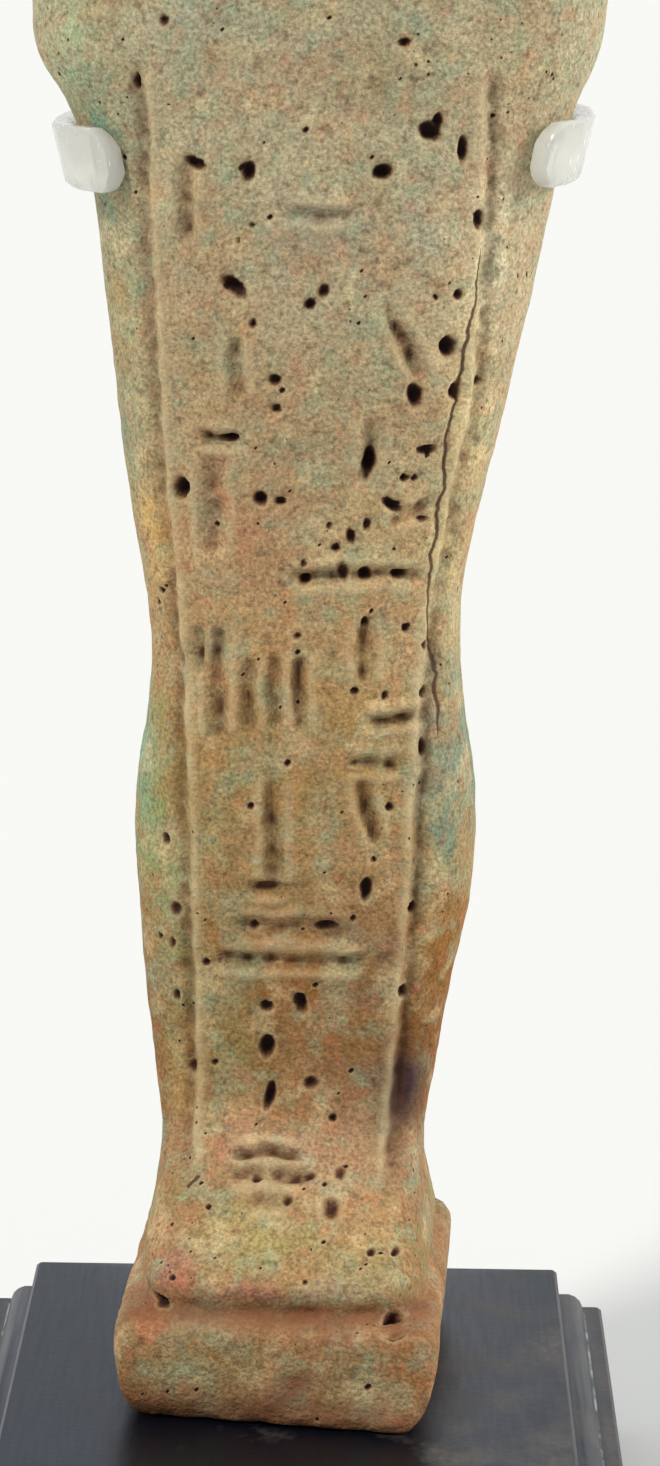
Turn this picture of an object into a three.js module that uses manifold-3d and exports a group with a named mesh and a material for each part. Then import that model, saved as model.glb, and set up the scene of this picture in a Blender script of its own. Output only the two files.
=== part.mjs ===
// A mummiform ushabti figurine of Egyptian faience, on a moulded black plinth in a clear acrylic cradle.
// Millimetres, +Z up. The part's origin is the middle of the plinth's underside, and its front faces -Y.
// The figurine and its cradle are drawn in the figurine's own frame: x across, -y to the front, and z up from
// its underside.
import * as THREE from "three";
import { mergeVertices } from "three/addons/utils/BufferGeometryUtils.js";
import Module from "manifold-3d";

const wasm = await Module();
wasm.setup();

// -------------------- driving dimensions

const CONTACT_GAP = 0.1; // between the figurine's underside and the plinth
const FIT_GAP = 0.3; // round the acrylic cradle

// The plinth: a top slab, a quarter-round moulding and a lower slab, each stepping out on all four sides.
const PLINTH = {
  height: 19,
  topWidth: 52.4,
  topDepth: 62,
  slab: 3,
  ovolo: 2.6,
  ovoloSteps: 6,
  neck: 0.3,
  lowerStep: 2.0,
  wear: 0.3,
};

// Where the figurine stands on the plinth, behind its middle and turned a little.
const FIGURE_X = -0.2;
const FIGURE_Y = 9;
const FIGURE_YAW = THREE.MathUtils.degToRad(-3);

// The rectangular base under the feet: [z, left, right, front, back, skew], worn in along its lower edges.
// The skew is how much further forward the front face stands for each millimetre towards +x.
const BASE_TOP = 9.6;
const BASE_CORNER = 1.3;
const BASE_WORN_CORNER = 3.6; // the rear corner on +x
const BASE_STATIONS = [
  [0, -13.3, 12.4, -18.9, 18.3, 0.13],
  [0.9, -13.9, 13.3, -19.2, 18.7, 0.09],
  [2.6, -14.5, 14.1, -19.1, 18.9, 0.05],
  [5.2, -14.9, 14.6, -19, 18.9, 0.035],
  [8.6, -15, 14.8, -19, 18.9, 0.035],
  [BASE_TOP, -14.4, 14.3, -18.5, 18.4, 0.035],
];

// The feet, the wrapped legs, the hips, the elbows and the shoulders, from the base up:
// [z, left, right, front, back, squareness of the section].
const SHROUD_STATIONS = [
  [8, -12.9, 13.1, -17.0, 14.2, 5],
  [10.6, -13.1, 13.3, -17.1, 14.2, 5],
  [12.2, -13.3, 13.5, -18.0, 14.2, 5],
  [13.8, -13.2, 13.3, -17.2, 14.2, 4.8],
  [17, -12.6, 12.6, -13.7, 14.1, 4.2],
  [20.5, -12.2, 12.3, -9.8, 14.0, 3.6],
  [23.6, -12.3, 12.5, -6.6, 14.0, 3.3],
  [26.5, -12.9, 13.1, -5.6, 14.0, 3.1],
  [30, -13.3, 13.6, -5.7, 14.1, 3],
  [35, -13.9, 14.3, -6.3, 14.2, 2.8],
  [44.5, -14.7, 16.3, -7.6, 14.3, 2.6],
  [54, -15.1, 16.8, -8.7, 14.2, 2.5],
  [63.5, -13.7, 15.4, -9.0, 13.8, 2.6],
  [68.5, -13.3, 14.9, -9.1, 13.7, 2.6],
  [73, -13.8, 14.8, -9.3, 13.7, 2.6],
  [82, -15.4, 16.5, -10.0, 13.8, 2.5],
  [91.5, -16.6, 18.7, -11.0, 14, 2.5],
  [100.5, -17.6, 20.6, -12.0, 14.2, 2.5],
  [109.5, -18.7, 22.3, -12.6, 14.4, 2.5],
  [114.5, -19.7, 23.2, -12.9, 14.5, 2.5],
  [118.5, -21.2, 24.3, -13.2, 14.6, 2.5],
  [122.6, -23.9, 26.2, -13.5, 14.7, 2.6],
  [127, -24.1, 26.8, -13.8, 14.9, 2.6],
  [136, -24.6, 27.6, -14.4, 15.2, 2.6],
  [146, -24.7, 28.0, -14.5, 15.3, 2.6],
  [153, -23.6, 27.2, -13.8, 15, 2.5],
  [158, -20.6, 24.6, -12.6, 14.2, 2.4],
  [162, -15.6, 19.8, -11.0, 13.2, 2.3],
  [165, -9.6, 13.6, -9.4, 12, 2.2],
];
const SHROUD_MIDDLE_Y = 1.5; // the section's widest line
const SHROUD_SIDES = 38;

// The figure leans to +x above its ankles: x grows by this much for each millimetre of height.
const LEAN = 0.0126;
const LEAN_FROM_Z = 20;

const PILLAR = { left: -5.8, right: 6.4, front: 8, back: 18.7, top: 153 }; // the dorsal pillar

// The inscription's panel: its side lines as [z, left, right].
const PANEL_LINES = [
  [22, -9.4, 9.7],
  [31, -9.2, 10.4],
  [47, -9.6, 11.6],
  [66, -10.2, 12.4],
  [75, -11, 13.1],
  [84, -11.8, 14.6],
  [94, -12.4, 16.5],
  [107, -13, 17],
  [121, -13.2, 17.2],
];
const PANEL_LINE = { width: 1.5, depth: 0.55, steps: 13 };
const STROKE_DEPTH = 0.7;
// The panel's rows of plain worn gouges, top to bottom, down to the short level ones on the
// instep: [middle x, middle z, length, degrees turned off upright, width].
const STROKES = [
  [-9.3, 110.4, 6.4, 0, 1.5],
  [2.6, 109.6, 5.4, 90, 1.2],
  [-4.8, 95.8, 5, 0, 1.4],
  [9.9, 98.4, 6.6, -24, 1.3],
  [-6.3, 89.5, 3.8, 90, 1.3],
  [7, 88.8, 5.6, 6, 1.5],
  [-6.9, 83.2, 8.8, 0, 2],
  [10.4, 82.9, 3.8, 60, 1.3],
  [5.6, 77.2, 10.6, 90, 1.5],
  [-8.4, 70, 3.8, 0, 1.3],
  [-6.6, 67, 9.6, 0, 1.8],
  [-3.7, 66, 6.4, 0, 1.4],
  [-1.3, 66.6, 6.4, 0, 1.4],
  [1, 66.5, 6.8, 0, 1.4],
  [6.7, 70.3, 5.8, 0, 1.4],
  [9.5, 63.9, 4.4, 90, 1.4],
  [-1.3, 53.4, 9.8, 0, 1.6],
  [7.4, 59.8, 4.4, 90, 1.4],
  [7.2, 55.4, 6, -12, 1.4],
  [-1.7, 47.8, 3.6, 90, 1.4],
  [0.3, 44, 9.8, 90, 1.8],
  [0.3, 40.6, 13.4, 90, 1.5],
  [-1.9, 22.4, 5.6, 90, 1.2],
  [-1.5, 20.8, 7.4, 90, 1.2],
  [-1.5, 19.2, 3.6, 90, 1.2],
];

// The tripartite wig: [z, half width, front, back, squareness].
const WIG_STATIONS = [
  [152, 14.6, 2, 16.9, 3],
  [160, 16.2, 2, 17.2, 2.8],
  [166, 16.9, 0, 17, 2.8],
  [170, 17.1, -7.4, 16.6, 2.9],
  [177, 17.1, -9.2, 16, 2.9],
  [184, 16.8, -9.4, 15.1, 2.8],
  [188.6, 16.2, -9.6, 14, 2.7],
  [189.5, 15.9, -13.2, 13.7, 2.5],
  [193, 14.6, -12.2, 12.3, 2.4],
  [196.4, 12, -9.6, 9.8, 2.2],
  [198.8, 8.4, -6, 6.6, 2.1],
  [200, 3.4, -2, 2.4, 2],
];
const WIG_MIDDLE_Y = 3.5;
// One lappet on the chest: [z, middle x, half width, front].
const LAPPET_STATIONS = [
  [153.4, 10.1, 5.3, -14.9],
  [157, 10.6, 5.5, -14.6],
  [162, 11.1, 5.4, -13.7],
  [168, 11.6, 4.9, -11.9],
  [174, 11.7, 3.9, -9.9],
  [178.5, 11.4, 2.6, -8],
];
const LAPPET_BACK = -2;
const NECK = { z: 166.5, y: -1.5, width: 17, depth: 17, height: 11 };

// The face, on plain canon proportions: [z, half width, front, squareness].
const FACE_STATIONS = [
  [168.6, 3.4, -9.4, 2.2],
  [170.2, 5.2, -12.2, 2.3],
  [172.4, 7, -13, 2.4],
  [176, 8.9, -13.1, 2.4],
  [179.6, 9.9, -12.9, 2.4],
  [183.4, 10.4, -12.3, 2.5],
  [186.6, 10.4, -12.8, 2.5],
  [190, 9.8, -12.4, 2.4],
];
const FACE_BACK = 2;
const RIDGE_BACK = -9; // where the nose and the beard are rooted
const EYE = { x: 4.5, y: -11.4, z: 183.3, width: 6.2, height: 2.5, socketY: -13.5 };
const BROW = { y: -12.2, z: 186.3, width: 8 };
const NOSE_STATIONS = [
  [178.2, 1.7, -14],
  [179.2, 2.6, -15.8],
  [181.4, 1.8, -15.2],
  [184.4, 1.2, -14],
  [187.2, 1.3, -12.9],
];
const MOUTH = { y: -12.9, z: 175.2, width: 6.2, lip: 1.3 };
const EAR = { x: 11, y: -7.6, z: 181.8, height: 8.2 };
// The plaited divine beard: [z, half width, front].
const BEARD_STATIONS = [
  [155.6, 3.1, -17.2],
  [160, 2.9, -17.2],
  [166, 2.3, -16],
  [171.4, 1.9, -13.8],
];

// The crossed hands and what they hold.
const HAND = { x: 8.2, z: 142.6, offset: 1.2, width: 8.8, height: 6.6, depth: 5.2 };
// The shaft in each hand, up to the shoulder: its route from the fist as [outward, up].
const SHAFT_ROUTE = [[-1.4, -6.2], [0, 0], [4.6, 6.4], [8.2, 10.8], [9.9, 14]];
const SHAFT_RADIUS = 0.95;
const PATCH_ROOT = 2; // how far what lies on the shroud is sunk into it

// The clear cradle: a flat post up the back, with a band from it round the hips.
const POST = { width: 11.6, thickness: 2, seat: 7.6 };
const BAND = { bottom: 111.2, height: 5.7, thickness: 1.7, tipSteps: 4, steps: 26 };
const BAND_TILT = 0.025; // it stands a little higher on the +x side
const BAND_BACK = { bulge: 0.5, squareness: 2.6 }; // behind the pillar it stands off a little
const BAND_LEFT_TIP = THREE.MathUtils.degToRad(-135); // in the section's own angle, 0 at +x
const BAND_RIGHT_TIP = THREE.MathUtils.degToRad(-35);

const FAIENCE = new THREE.MeshStandardMaterial({ color: 0xa8997a, roughness: 0.8, metalness: 0 });
const BLACK = new THREE.MeshStandardMaterial({ color: 0x2c3036, roughness: 0.4, metalness: 0 });
const ACRYLIC = new THREE.MeshStandardMaterial({
  color: 0xf4f6f6,
  roughness: 0.1,
  metalness: 0,
  transparent: true,
  opacity: 0.35,
});

// -------------------- solids and lofts

// A closed geometry as a manifold solid.
function solidOf(geometry) {
  const bare = geometry.clone();
  bare.deleteAttribute("normal");
  bare.deleteAttribute("uv");
  const merged = mergeVertices(bare, 1e-4);
  const vertProperties = new Float32Array(merged.attributes.position.array);
  const triVerts = new Uint32Array(merged.index.array);
  return new wasm.Manifold(new wasm.Mesh({ numProp: 3, vertProperties, triVerts }));
}

// A manifold solid as a flat-shaded geometry.
function geometryOf(solid) {
  const { vertProperties, triVerts } = solid.getMesh();
  const geometry = new THREE.BufferGeometry();
  geometry.setAttribute("position", new THREE.BufferAttribute(new Float32Array(vertProperties), 3));
  geometry.setIndex(new THREE.BufferAttribute(new Uint32Array(triVerts), 1));
  const flat = geometry.toNonIndexed();
  flat.computeVertexNormals();
  return flat;
}

const joined = (solids) => solids.reduce((sum, solid) => sum.add(solid));

// A closed skin over rings of points. Every ring runs anticlockwise seen from the last ring's side.
function loft(rings) {
  const sides = rings[0].length;
  const points = rings.flat();
  const middles = [rings[0], rings.at(-1)].map((ring) =>
    ring.reduce((sum, point) => sum.add(point), new THREE.Vector3()).divideScalar(sides),
  );
  const bottomMiddle = points.length;
  const topMiddle = bottomMiddle + 1;
  const lastRing = (rings.length - 1) * sides;
  const index = [];
  for (let side = 0; side < sides; side++) {
    const next = (side + 1) % sides;
    index.push(bottomMiddle, next, side, topMiddle, lastRing + side, lastRing + next);
    for (let row = 0; row < lastRing; row += sides) {
      const above = row + sides;
      index.push(row + side, row + next, above + next, row + side, above + next, above + side);
    }
  }
  const geometry = new THREE.BufferGeometry().setFromPoints([...points, ...middles]);
  geometry.setIndex(index);
  return geometry;
}

// A smooth table: rows of [z, values...] as a function of z that gives the values.
function table(rows) {
  const heights = rows.map((row) => row[0]);
  const values = rows.flatMap((row) => row.slice(1));
  const spline = new THREE.CubicInterpolant(heights, values, rows[0].length - 1);
  return (z) => Array.from(spline.evaluate(THREE.MathUtils.clamp(z, heights[0], heights.at(-1))));
}

// count + 1 even steps from one value to another.
function steps(from, to, count) {
  return Array.from({ length: count + 1 }, (_, i) => from + ((to - from) * i) / count);
}

const signedPower = (value, power) => Math.sign(value) * Math.abs(value) ** power;

// One point of a rounded section, whose front and back may differ in depth, at an angle from +x.
function sectionPoint(angle, { z, left, right, front, back, middleY, square }) {
  const x = (left + right) / 2 + ((right - left) / 2) * signedPower(Math.cos(angle), 2 / square);
  const depth = Math.sin(angle) < 0 ? middleY - front : back - middleY;
  return new THREE.Vector3(x, middleY + depth * signedPower(Math.sin(angle), 2 / square), z);
}

function sectionRing(section, sides) {
  return Array.from({ length: sides }, (_, i) => sectionPoint((i * 2 * Math.PI) / sides, section));
}

// A level rectangle, anticlockwise from its left front corner.
function rectangle(left, right, front, back, z) {
  const corners = [[left, front], [right, front], [right, back], [left, back]];
  return corners.map(([x, y]) => new THREE.Vector3(x, y, z));
}

// A box given by its six sides.
function box(left, right, front, back, bottom, top) {
  return loft([rectangle(left, right, front, back, bottom), rectangle(left, right, front, back, top)]);
}

// An ellipsoid of the given full sizes, turned about y.
function blob(at, width, depth, height, turn = 0, sides = 10) {
  return new THREE.SphereGeometry(0.5, sides, Math.ceil(sides * 0.6))
    .rotateX(Math.PI / 2)
    .scale(width, depth, height)
    .rotateY(turn)
    .translate(at.x, at.y, at.z);
}

// A tapered round bar between two points.
function bar(from, to, startRadius, endRadius = startRadius, sides = 8) {
  const along = new THREE.Vector3().subVectors(to, from);
  const upright = new THREE.Vector3(0, 1, 0);
  const turn = new THREE.Quaternion().setFromUnitVectors(upright, along.clone().normalize());
  const middle = new THREE.Vector3().addVectors(from, to).divideScalar(2);
  return new THREE.CylinderGeometry(endRadius, startRadius, along.length(), sides)
    .applyQuaternion(turn)
    .translate(middle.x, middle.y, middle.z);
}

// -------------------- the figurine

const shroudAt = table(SHROUD_STATIONS);
const panelAt = table(PANEL_LINES);
const leanAt = (z) => LEAN * (z - LEAN_FROM_Z);

function shroudSection(z) {
  const [left, right, front, back, square] = shroudAt(z);
  return { z, left, right, front, back, square, middleY: SHROUD_MIDDLE_Y };
}

// A point on the shroud's front (facing -1) or back (facing 1), lifted off it.
function onShroud(x, z, lift = 0, facing = -1) {
  const { left, right, front, back, square } = shroudSection(z);
  const across = Math.min(Math.abs((x - (left + right) / 2) / ((right - left) / 2)), 1);
  const depth = facing < 0 ? SHROUD_MIDDLE_Y - front : back - SHROUD_MIDDLE_Y;
  const y = SHROUD_MIDDLE_Y + facing * (depth * (1 - across ** square) ** (1 / square) + lift);
  return new THREE.Vector3(x, y, z);
}

// What stands over the ankles is drawn upright and leaned afterwards.
function leaned(geometry) {
  const shear = new THREE.Matrix4().set(1, 0, LEAN, -LEAN * LEAN_FROM_Z, 0, 1, 0, 0, 0, 0, 1, 0, 0, 0, 0, 1);
  return geometry.applyMatrix4(shear);
}

function shroud() {
  const heights = [
    ...steps(8, 14, 4),
    ...steps(17, 27, 4),
    ...steps(32, 116, 14),
    ...steps(118.5, 127, 3),
    ...steps(136, 152, 2),
    ...steps(156, 165, 3),
  ];
  return loft(heights.map((z) => sectionRing(shroudSection(z), SHROUD_SIDES)));
}

// One level outline of the base: a rectangle with rounded corners and a skewed front.
function baseRing([z, left, right, front, back, skew]) {
  const corners = [
    [right, back, BASE_WORN_CORNER],
    [left, back, BASE_CORNER],
    [left, front - skew * left, BASE_CORNER],
    [right, front - skew * right, BASE_CORNER],
  ];
  return corners.flatMap(([x, y, radius], corner) =>
    steps(0, 1, 3).map((share) => {
      const angle = ((corner + share) * Math.PI) / 2;
      const middleX = x - Math.sign(x) * radius;
      const middleY = y - Math.sign(y) * radius;
      return new THREE.Vector3(middleX + radius * Math.cos(angle), middleY + radius * Math.sin(angle), z);
    }),
  );
}

// A V-shaped line cut down the shroud's front, at the x that xAt gives for each height.
function panelLine(xAt) {
  const { width, depth } = PANEL_LINE;
  const rings = steps(PANEL_LINES[0][0], PANEL_LINES.at(-1)[0], PANEL_LINE.steps).map((z) => {
    const surface = onShroud(xAt(z), z);
    return [
      new THREE.Vector3(surface.x - width, surface.y - depth, z),
      new THREE.Vector3(surface.x + width, surface.y - depth, z),
      new THREE.Vector3(surface.x, surface.y + depth, z),
    ];
  });
  return loft(rings);
}

// A short tapering stroke cut into the shroud's front, turned from upright.
// One gouge of the rows in the inscription's place. They spell nothing.
function stroke([x, z, length, degrees, width]) {
  const at = onShroud(x, z);
  return new THREE.OctahedronGeometry(1)
    .scale(width / 2, STROKE_DEPTH, length / 2)
    .rotateY(THREE.MathUtils.degToRad(degrees))
    .translate(at.x, at.y, at.z);
}

function inscription() {
  return joined(STROKES.map((row) => solidOf(stroke(row))));
}

function wig() {
  const rings = WIG_STATIONS.map(([z, half, front, back, square]) =>
    sectionRing({ z, left: -half, right: half, front, back, square, middleY: WIG_MIDDLE_Y }, 24),
  );
  return leaned(loft(rings));
}

function lappet(side) {
  const rings = LAPPET_STATIONS.map(([z, x, half, front]) => {
    const sides = { left: side * x - half, right: side * x + half };
    const depths = { front, back: LAPPET_BACK, middleY: front + 3 };
    return sectionRing({ z, ...sides, ...depths, square: 3 }, 16);
  });
  return leaned(loft(rings));
}

// A tapering ridge that stands out of a surface: rows of [z, half width, front].
function ridge(rows, back, square, sides) {
  const rings = rows.map(([z, half, front]) => {
    const middleY = Math.min(front + 2, back);
    return sectionRing({ z, left: -half, right: half, front, back, square, middleY }, sides);
  });
  return leaned(loft(rings));
}

function face() {
  const rings = FACE_STATIONS.map(([z, half, front, square]) =>
    sectionRing({ z, left: -half, right: half, front, back: FACE_BACK, square, middleY: 0 }, 24),
  );
  const sockets = [-1, 1].map((side) => {
    const at = new THREE.Vector3(side * EYE.x, EYE.socketY, EYE.z);
    return solidOf(leaned(blob(at, EYE.width + 1.6, 3.2, EYE.height + 2.2)));
  });
  return solidOf(leaned(loft(rings))).subtract(joined(sockets));
}

function head() {
  const at = (x, y, z) => new THREE.Vector3(x, y, z);
  const features = [
    leaned(blob(at(0, NECK.y, NECK.z), NECK.width, NECK.depth, NECK.height)),
    ridge(NOSE_STATIONS, RIDGE_BACK, 2.2, 10),
    ridge(BEARD_STATIONS, RIDGE_BACK, 2.8, 12),
  ];
  for (const side of [-1, 1]) {
    const lipZ = MOUTH.z + (side * MOUTH.lip) / 2;
    features.push(
      leaned(blob(at(side * EYE.x, EYE.y, EYE.z), EYE.width, 2.2, EYE.height, 0, 12)),
      leaned(blob(at(side * EYE.x, BROW.y, BROW.z), BROW.width, 1.8, 1.1, -side * 0.04)),
      leaned(blob(at(side * EAR.x, EAR.y, EAR.z), 3.4, 4.6, EAR.height, side * 0.08)),
      leaned(blob(at(0, MOUTH.y, lipZ), MOUTH.width - 0.2 * (1 + side), 2.2, MOUTH.lip + 0.2, 0, 12)),
      lappet(side),
    );
  }
  return joined([face(), ...features.map(solidOf), solidOf(wig())]);
}

// A slab that lies on the shroud, standing out of it: rows of [z, x, half width, lift], from the bottom up.
function patch(rows, facing = -1) {
  const rings = rows.map(([z, x, half, lift]) => {
    const outer = [-1, 0, 1].map((share) => onShroud(x + share * half, z, lift, facing));
    const inner = [1, -1].map((share) => onShroud(x + share * half, z, -PATCH_ROOT, facing));
    const ring = [...outer, ...inner];
    return facing < 0 ? ring : ring.reverse();
  });
  return loft(rings);
}

// A thin rod that lies on the shroud, through points given as [x, z].
function rodOn(places, radius, facing = -1) {
  const curve = new THREE.CatmullRomCurve3(places.map(([x, z]) => onShroud(x, z, radius * 0.4, facing)));
  const section = new THREE.Shape(new THREE.Path().absarc(0, 0, radius, 0, 2 * Math.PI).getPoints(3));
  return new THREE.ExtrudeGeometry(section, { steps: 7, extrudePath: curve, bevelEnabled: false });
}

const handAt = (side) => [leanAt(HAND.z) + side * HAND.x, HAND.z + side * HAND.offset];

// A forearm under the wrapping, a fist over it, and the shaft that the fist holds up to the shoulder.
function arm(side) {
  const [handX, handZ] = handAt(side);
  const elbow = onShroud(leanAt(HAND.z) - side * 17, 129.5, -7.6);
  const wrist = onShroud(handX - side * 0.6, handZ - 0.6, -1.8);
  const fist = onShroud(handX, handZ, 0.4);
  const shaftPlaces = SHAFT_ROUTE.map(([x, z]) => [handX + side * x, handZ + z]);
  return [
    bar(elbow, wrist, 6.6, 3.2, 12),
    blob(fist, HAND.width, HAND.depth, HAND.height, side * 0.35, 10),
    rodOn(shaftPlaces, SHAFT_RADIUS),
  ];
}

// The grooves between the fingers of one fist.
function fingers(side) {
  const [handX, handZ] = handAt(side);
  return [-1, 0, 1].map((finger) => {
    const at = onShroud(handX + 0.4 * side, handZ + finger * 1.5, 0.4 + HAND.depth / 2);
    return new THREE.OctahedronGeometry(1)
      .scale(HAND.width * 0.36, 0.8, 0.34)
      .rotateY(side * 0.35)
      .translate(at.x, at.y + 0.35 * Math.abs(finger), at.z);
  });
}

// The broad hoe on +x and the narrow pick on -x, each hung by its head from the shoulder.
function implementHeads() {
  const x = leanAt(150);
  const hoe = [
    [144.6, x + 20.6, 2.9, 0.4],
    [145.4, x + 20.4, 2.8, 1],
    [153, x + 18.8, 1.6, 1.1],
    [156, x + 18.1, 1.2, 0.8],
  ];
  const pick = [
    [143.8, x - 20.6, 0.4, 0.5],
    [146, x - 20.3, 0.7, 1],
    [153, x - 18.8, 1.2, 1.1],
    [156, x - 18.1, 1.1, 0.8],
  ];
  return [patch(hoe), patch(pick)];
}

// The little seed bag behind the shoulder on +x, on its cord.
function seedBag() {
  const x = leanAt(145) + 14.5;
  const bag = [[138, x, 4.4, 0.5], [139, x, 4.6, 1.3], [148, x, 3.4, 1.2], [149, x, 3.2, 0.5]];
  return [patch(bag, 1), rodOn([[x, 148], [x - 0.4, 154], [x - 1, 160]], 0.8, 1)];
}

function figurine() {
  const { left, right, front, back, top } = PILLAR;
  const base = loft(BASE_STATIONS.map(baseRing));
  const pillar = box(left, right, front, back, 1, top);
  const arms = [-1, 1].flatMap(arm);
  const body = joined([shroud(), base, pillar, ...arms, ...implementHeads(), ...seedBag()].map(solidOf));
  const lines = [(z) => panelAt(z)[0], (z) => panelAt(z)[1]].map(panelLine);
  const cuts = [...lines, ...[-1, 1].flatMap(fingers)].map(solidOf);
  return body.add(head()).subtract(joined([...cuts, inscription()]));
}

// -------------------- the cradle

// One cross-section of the band round the hips: its inner and outer edges, low and high, at an angle.
function bandRing(angle, halfHeight) {
  const middle = BAND.bottom + BAND.height / 2;
  const level = (z, offset) => {
    const section = shroudSection(z);
    section.left -= offset;
    section.right += offset;
    section.front -= offset;
    section.back = PILLAR.back + BAND_BACK.bulge + offset;
    if (Math.sin(angle) > 0) section.square = BAND_BACK.squareness;
    return sectionPoint(angle, section);
  };
  const edge = (z, offset) => level(z + BAND_TILT * level(z, offset).x, offset);
  const inner = FIT_GAP + 0.15;
  const outer = inner + BAND.thickness;
  const chamfer = Math.min(0.35, halfHeight / 2);
  return [
    edge(middle - halfHeight + chamfer, inner),
    edge(middle + halfHeight - chamfer, inner),
    edge(middle + halfHeight, inner + chamfer),
    edge(middle + halfHeight, outer - chamfer),
    edge(middle + halfHeight - chamfer, outer),
    edge(middle - halfHeight + chamfer, outer),
    edge(middle - halfHeight, outer - chamfer),
    edge(middle - halfHeight, inner + chamfer),
  ];
}

function cradle() {
  const start = BAND_RIGHT_TIP;
  const end = BAND_LEFT_TIP + 2 * Math.PI;
  const tipAngle = THREE.MathUtils.degToRad(7);
  const tip = steps(0.12, 1, BAND.tipSteps);
  const half = BAND.height / 2;
  const rounded = (share) => half * Math.sqrt(1 - (1 - share) ** 2);
  const rings = [
    ...tip.slice(0, -1).map((share) => bandRing(start + tipAngle * share, rounded(share))),
    ...steps(start + tipAngle, end - tipAngle, BAND.steps).map((angle) => bandRing(angle, half)),
    ...tip.slice(0, -1).reverse().map((share) => bandRing(end - tipAngle * share, rounded(share))),
  ];
  const postFront = PILLAR.back + FIT_GAP;
  const middleX = (PILLAR.left + PILLAR.right) / 2;
  const post = box(
    middleX - POST.width / 2,
    middleX + POST.width / 2,
    postFront,
    postFront + POST.thickness,
    FIT_GAP - POST.seat,
    BAND.bottom + BAND.height + 1.2,
  );
  return solidOf(loft(rings)).add(solidOf(post));
}

// -------------------- the plinth

// The plinth profile from its underside up: [how far it stands out from the top slab, height over the top].
function plinthProfile() {
  const { height, slab, ovolo, ovoloSteps, neck, lowerStep, wear } = PLINTH;
  const foot = neck + ovolo + lowerStep;
  const roundTop = -slab;
  const round = steps(Math.PI / 2, 0, ovoloSteps).map((angle) => [
    neck + ovolo * Math.sin(angle),
    roundTop - ovolo * (1 - Math.cos(angle)),
  ]);
  return [
    [foot - wear, -height],
    [foot, -height + wear],
    [foot, roundTop - ovolo - 2 * wear],
    [foot - wear, roundTop - ovolo - wear],
    [neck + ovolo, roundTop - ovolo - wear],
    ...round,
    [0, roundTop + 0.01],
    [0, -wear],
    [-wear, 0],
  ];
}

function plinth() {
  const halfWidth = PLINTH.topWidth / 2;
  const halfDepth = PLINTH.topDepth / 2;
  const rings = plinthProfile().map(([out, z]) =>
    rectangle(-halfWidth - out, halfWidth + out, -halfDepth - out, halfDepth + out, PLINTH.height + z),
  );
  return solidOf(loft(rings));
}

// The notch in the plinth's back edge that the cradle's post stands in.
function postNotch() {
  const middleX = (PILLAR.left + PILLAR.right) / 2;
  const half = POST.width / 2 + FIT_GAP;
  return box(middleX - half, middleX + half, PILLAR.back + 0.1, 40, -POST.seat, 5);
}

// -------------------- assembly

function mesh(name, solid, material) {
  const made = new THREE.Mesh(geometryOf(solid), material);
  made.name = name;
  return made;
}

const onPlinth = new THREE.Group();
onPlinth.position.set(FIGURE_X, FIGURE_Y, PLINTH.height + CONTACT_GAP);
onPlinth.rotation.z = FIGURE_YAW;
onPlinth.add(mesh("ushabti", figurine(), FAIENCE), mesh("acrylic_cradle", cradle(), ACRYLIC));
onPlinth.updateMatrixWorld(true);

const notch = postNotch().applyMatrix4(onPlinth.matrixWorld);
const part = new THREE.Group();
part.add(onPlinth, mesh("display_plinth", plinth().subtract(solidOf(notch)), BLACK));

export default part;
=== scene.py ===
# %% [markdown]
# An ushabti is the small servant figure that was laid in an Egyptian tomb. This one is pressed
# and fired faience: a mummy shape with a wig, a false beard and crossed hands, standing on its
# own base block. It is shown as a collection shows such a thing: on a black moulded plinth,
# held upright by a cradle of clear acrylic.
# The solids of the three pieces come ready from the CAD model, all in one frame, in metres.
# Here they get what the solids leave out: the worn surface, the pits and cracks, and the
# finishes. First the frame is loaded, and its box is kept and printed.

# %% Load the frame
import math

import bpy
import numpy as np
from mathutils import Matrix, Vector, noise


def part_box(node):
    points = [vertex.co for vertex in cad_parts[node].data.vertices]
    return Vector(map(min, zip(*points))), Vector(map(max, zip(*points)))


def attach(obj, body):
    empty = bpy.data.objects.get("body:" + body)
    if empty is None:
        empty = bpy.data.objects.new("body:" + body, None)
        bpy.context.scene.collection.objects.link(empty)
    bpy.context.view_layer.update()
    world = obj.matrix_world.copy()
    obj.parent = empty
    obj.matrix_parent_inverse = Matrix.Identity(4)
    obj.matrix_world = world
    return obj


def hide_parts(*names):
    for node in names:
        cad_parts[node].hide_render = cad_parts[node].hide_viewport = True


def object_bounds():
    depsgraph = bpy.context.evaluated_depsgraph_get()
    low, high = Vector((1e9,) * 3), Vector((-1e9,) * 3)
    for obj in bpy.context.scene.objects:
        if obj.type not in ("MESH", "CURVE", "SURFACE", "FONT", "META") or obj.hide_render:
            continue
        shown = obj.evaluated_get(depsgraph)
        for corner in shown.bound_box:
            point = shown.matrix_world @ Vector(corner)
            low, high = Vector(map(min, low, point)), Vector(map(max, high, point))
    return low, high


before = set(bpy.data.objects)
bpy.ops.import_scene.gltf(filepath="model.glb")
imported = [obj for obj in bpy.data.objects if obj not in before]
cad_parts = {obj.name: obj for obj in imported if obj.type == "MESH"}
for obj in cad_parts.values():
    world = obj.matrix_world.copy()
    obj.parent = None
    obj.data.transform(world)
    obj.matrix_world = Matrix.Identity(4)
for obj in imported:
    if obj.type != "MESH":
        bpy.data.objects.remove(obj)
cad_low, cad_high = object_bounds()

MM = 0.001
bpy.ops.object.select_all(action="DESELECT")
print("nodes:", sorted(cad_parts))
print("CAD box, mm:", [round(v / MM, 1) for v in (*cad_low, *cad_high)])

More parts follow.
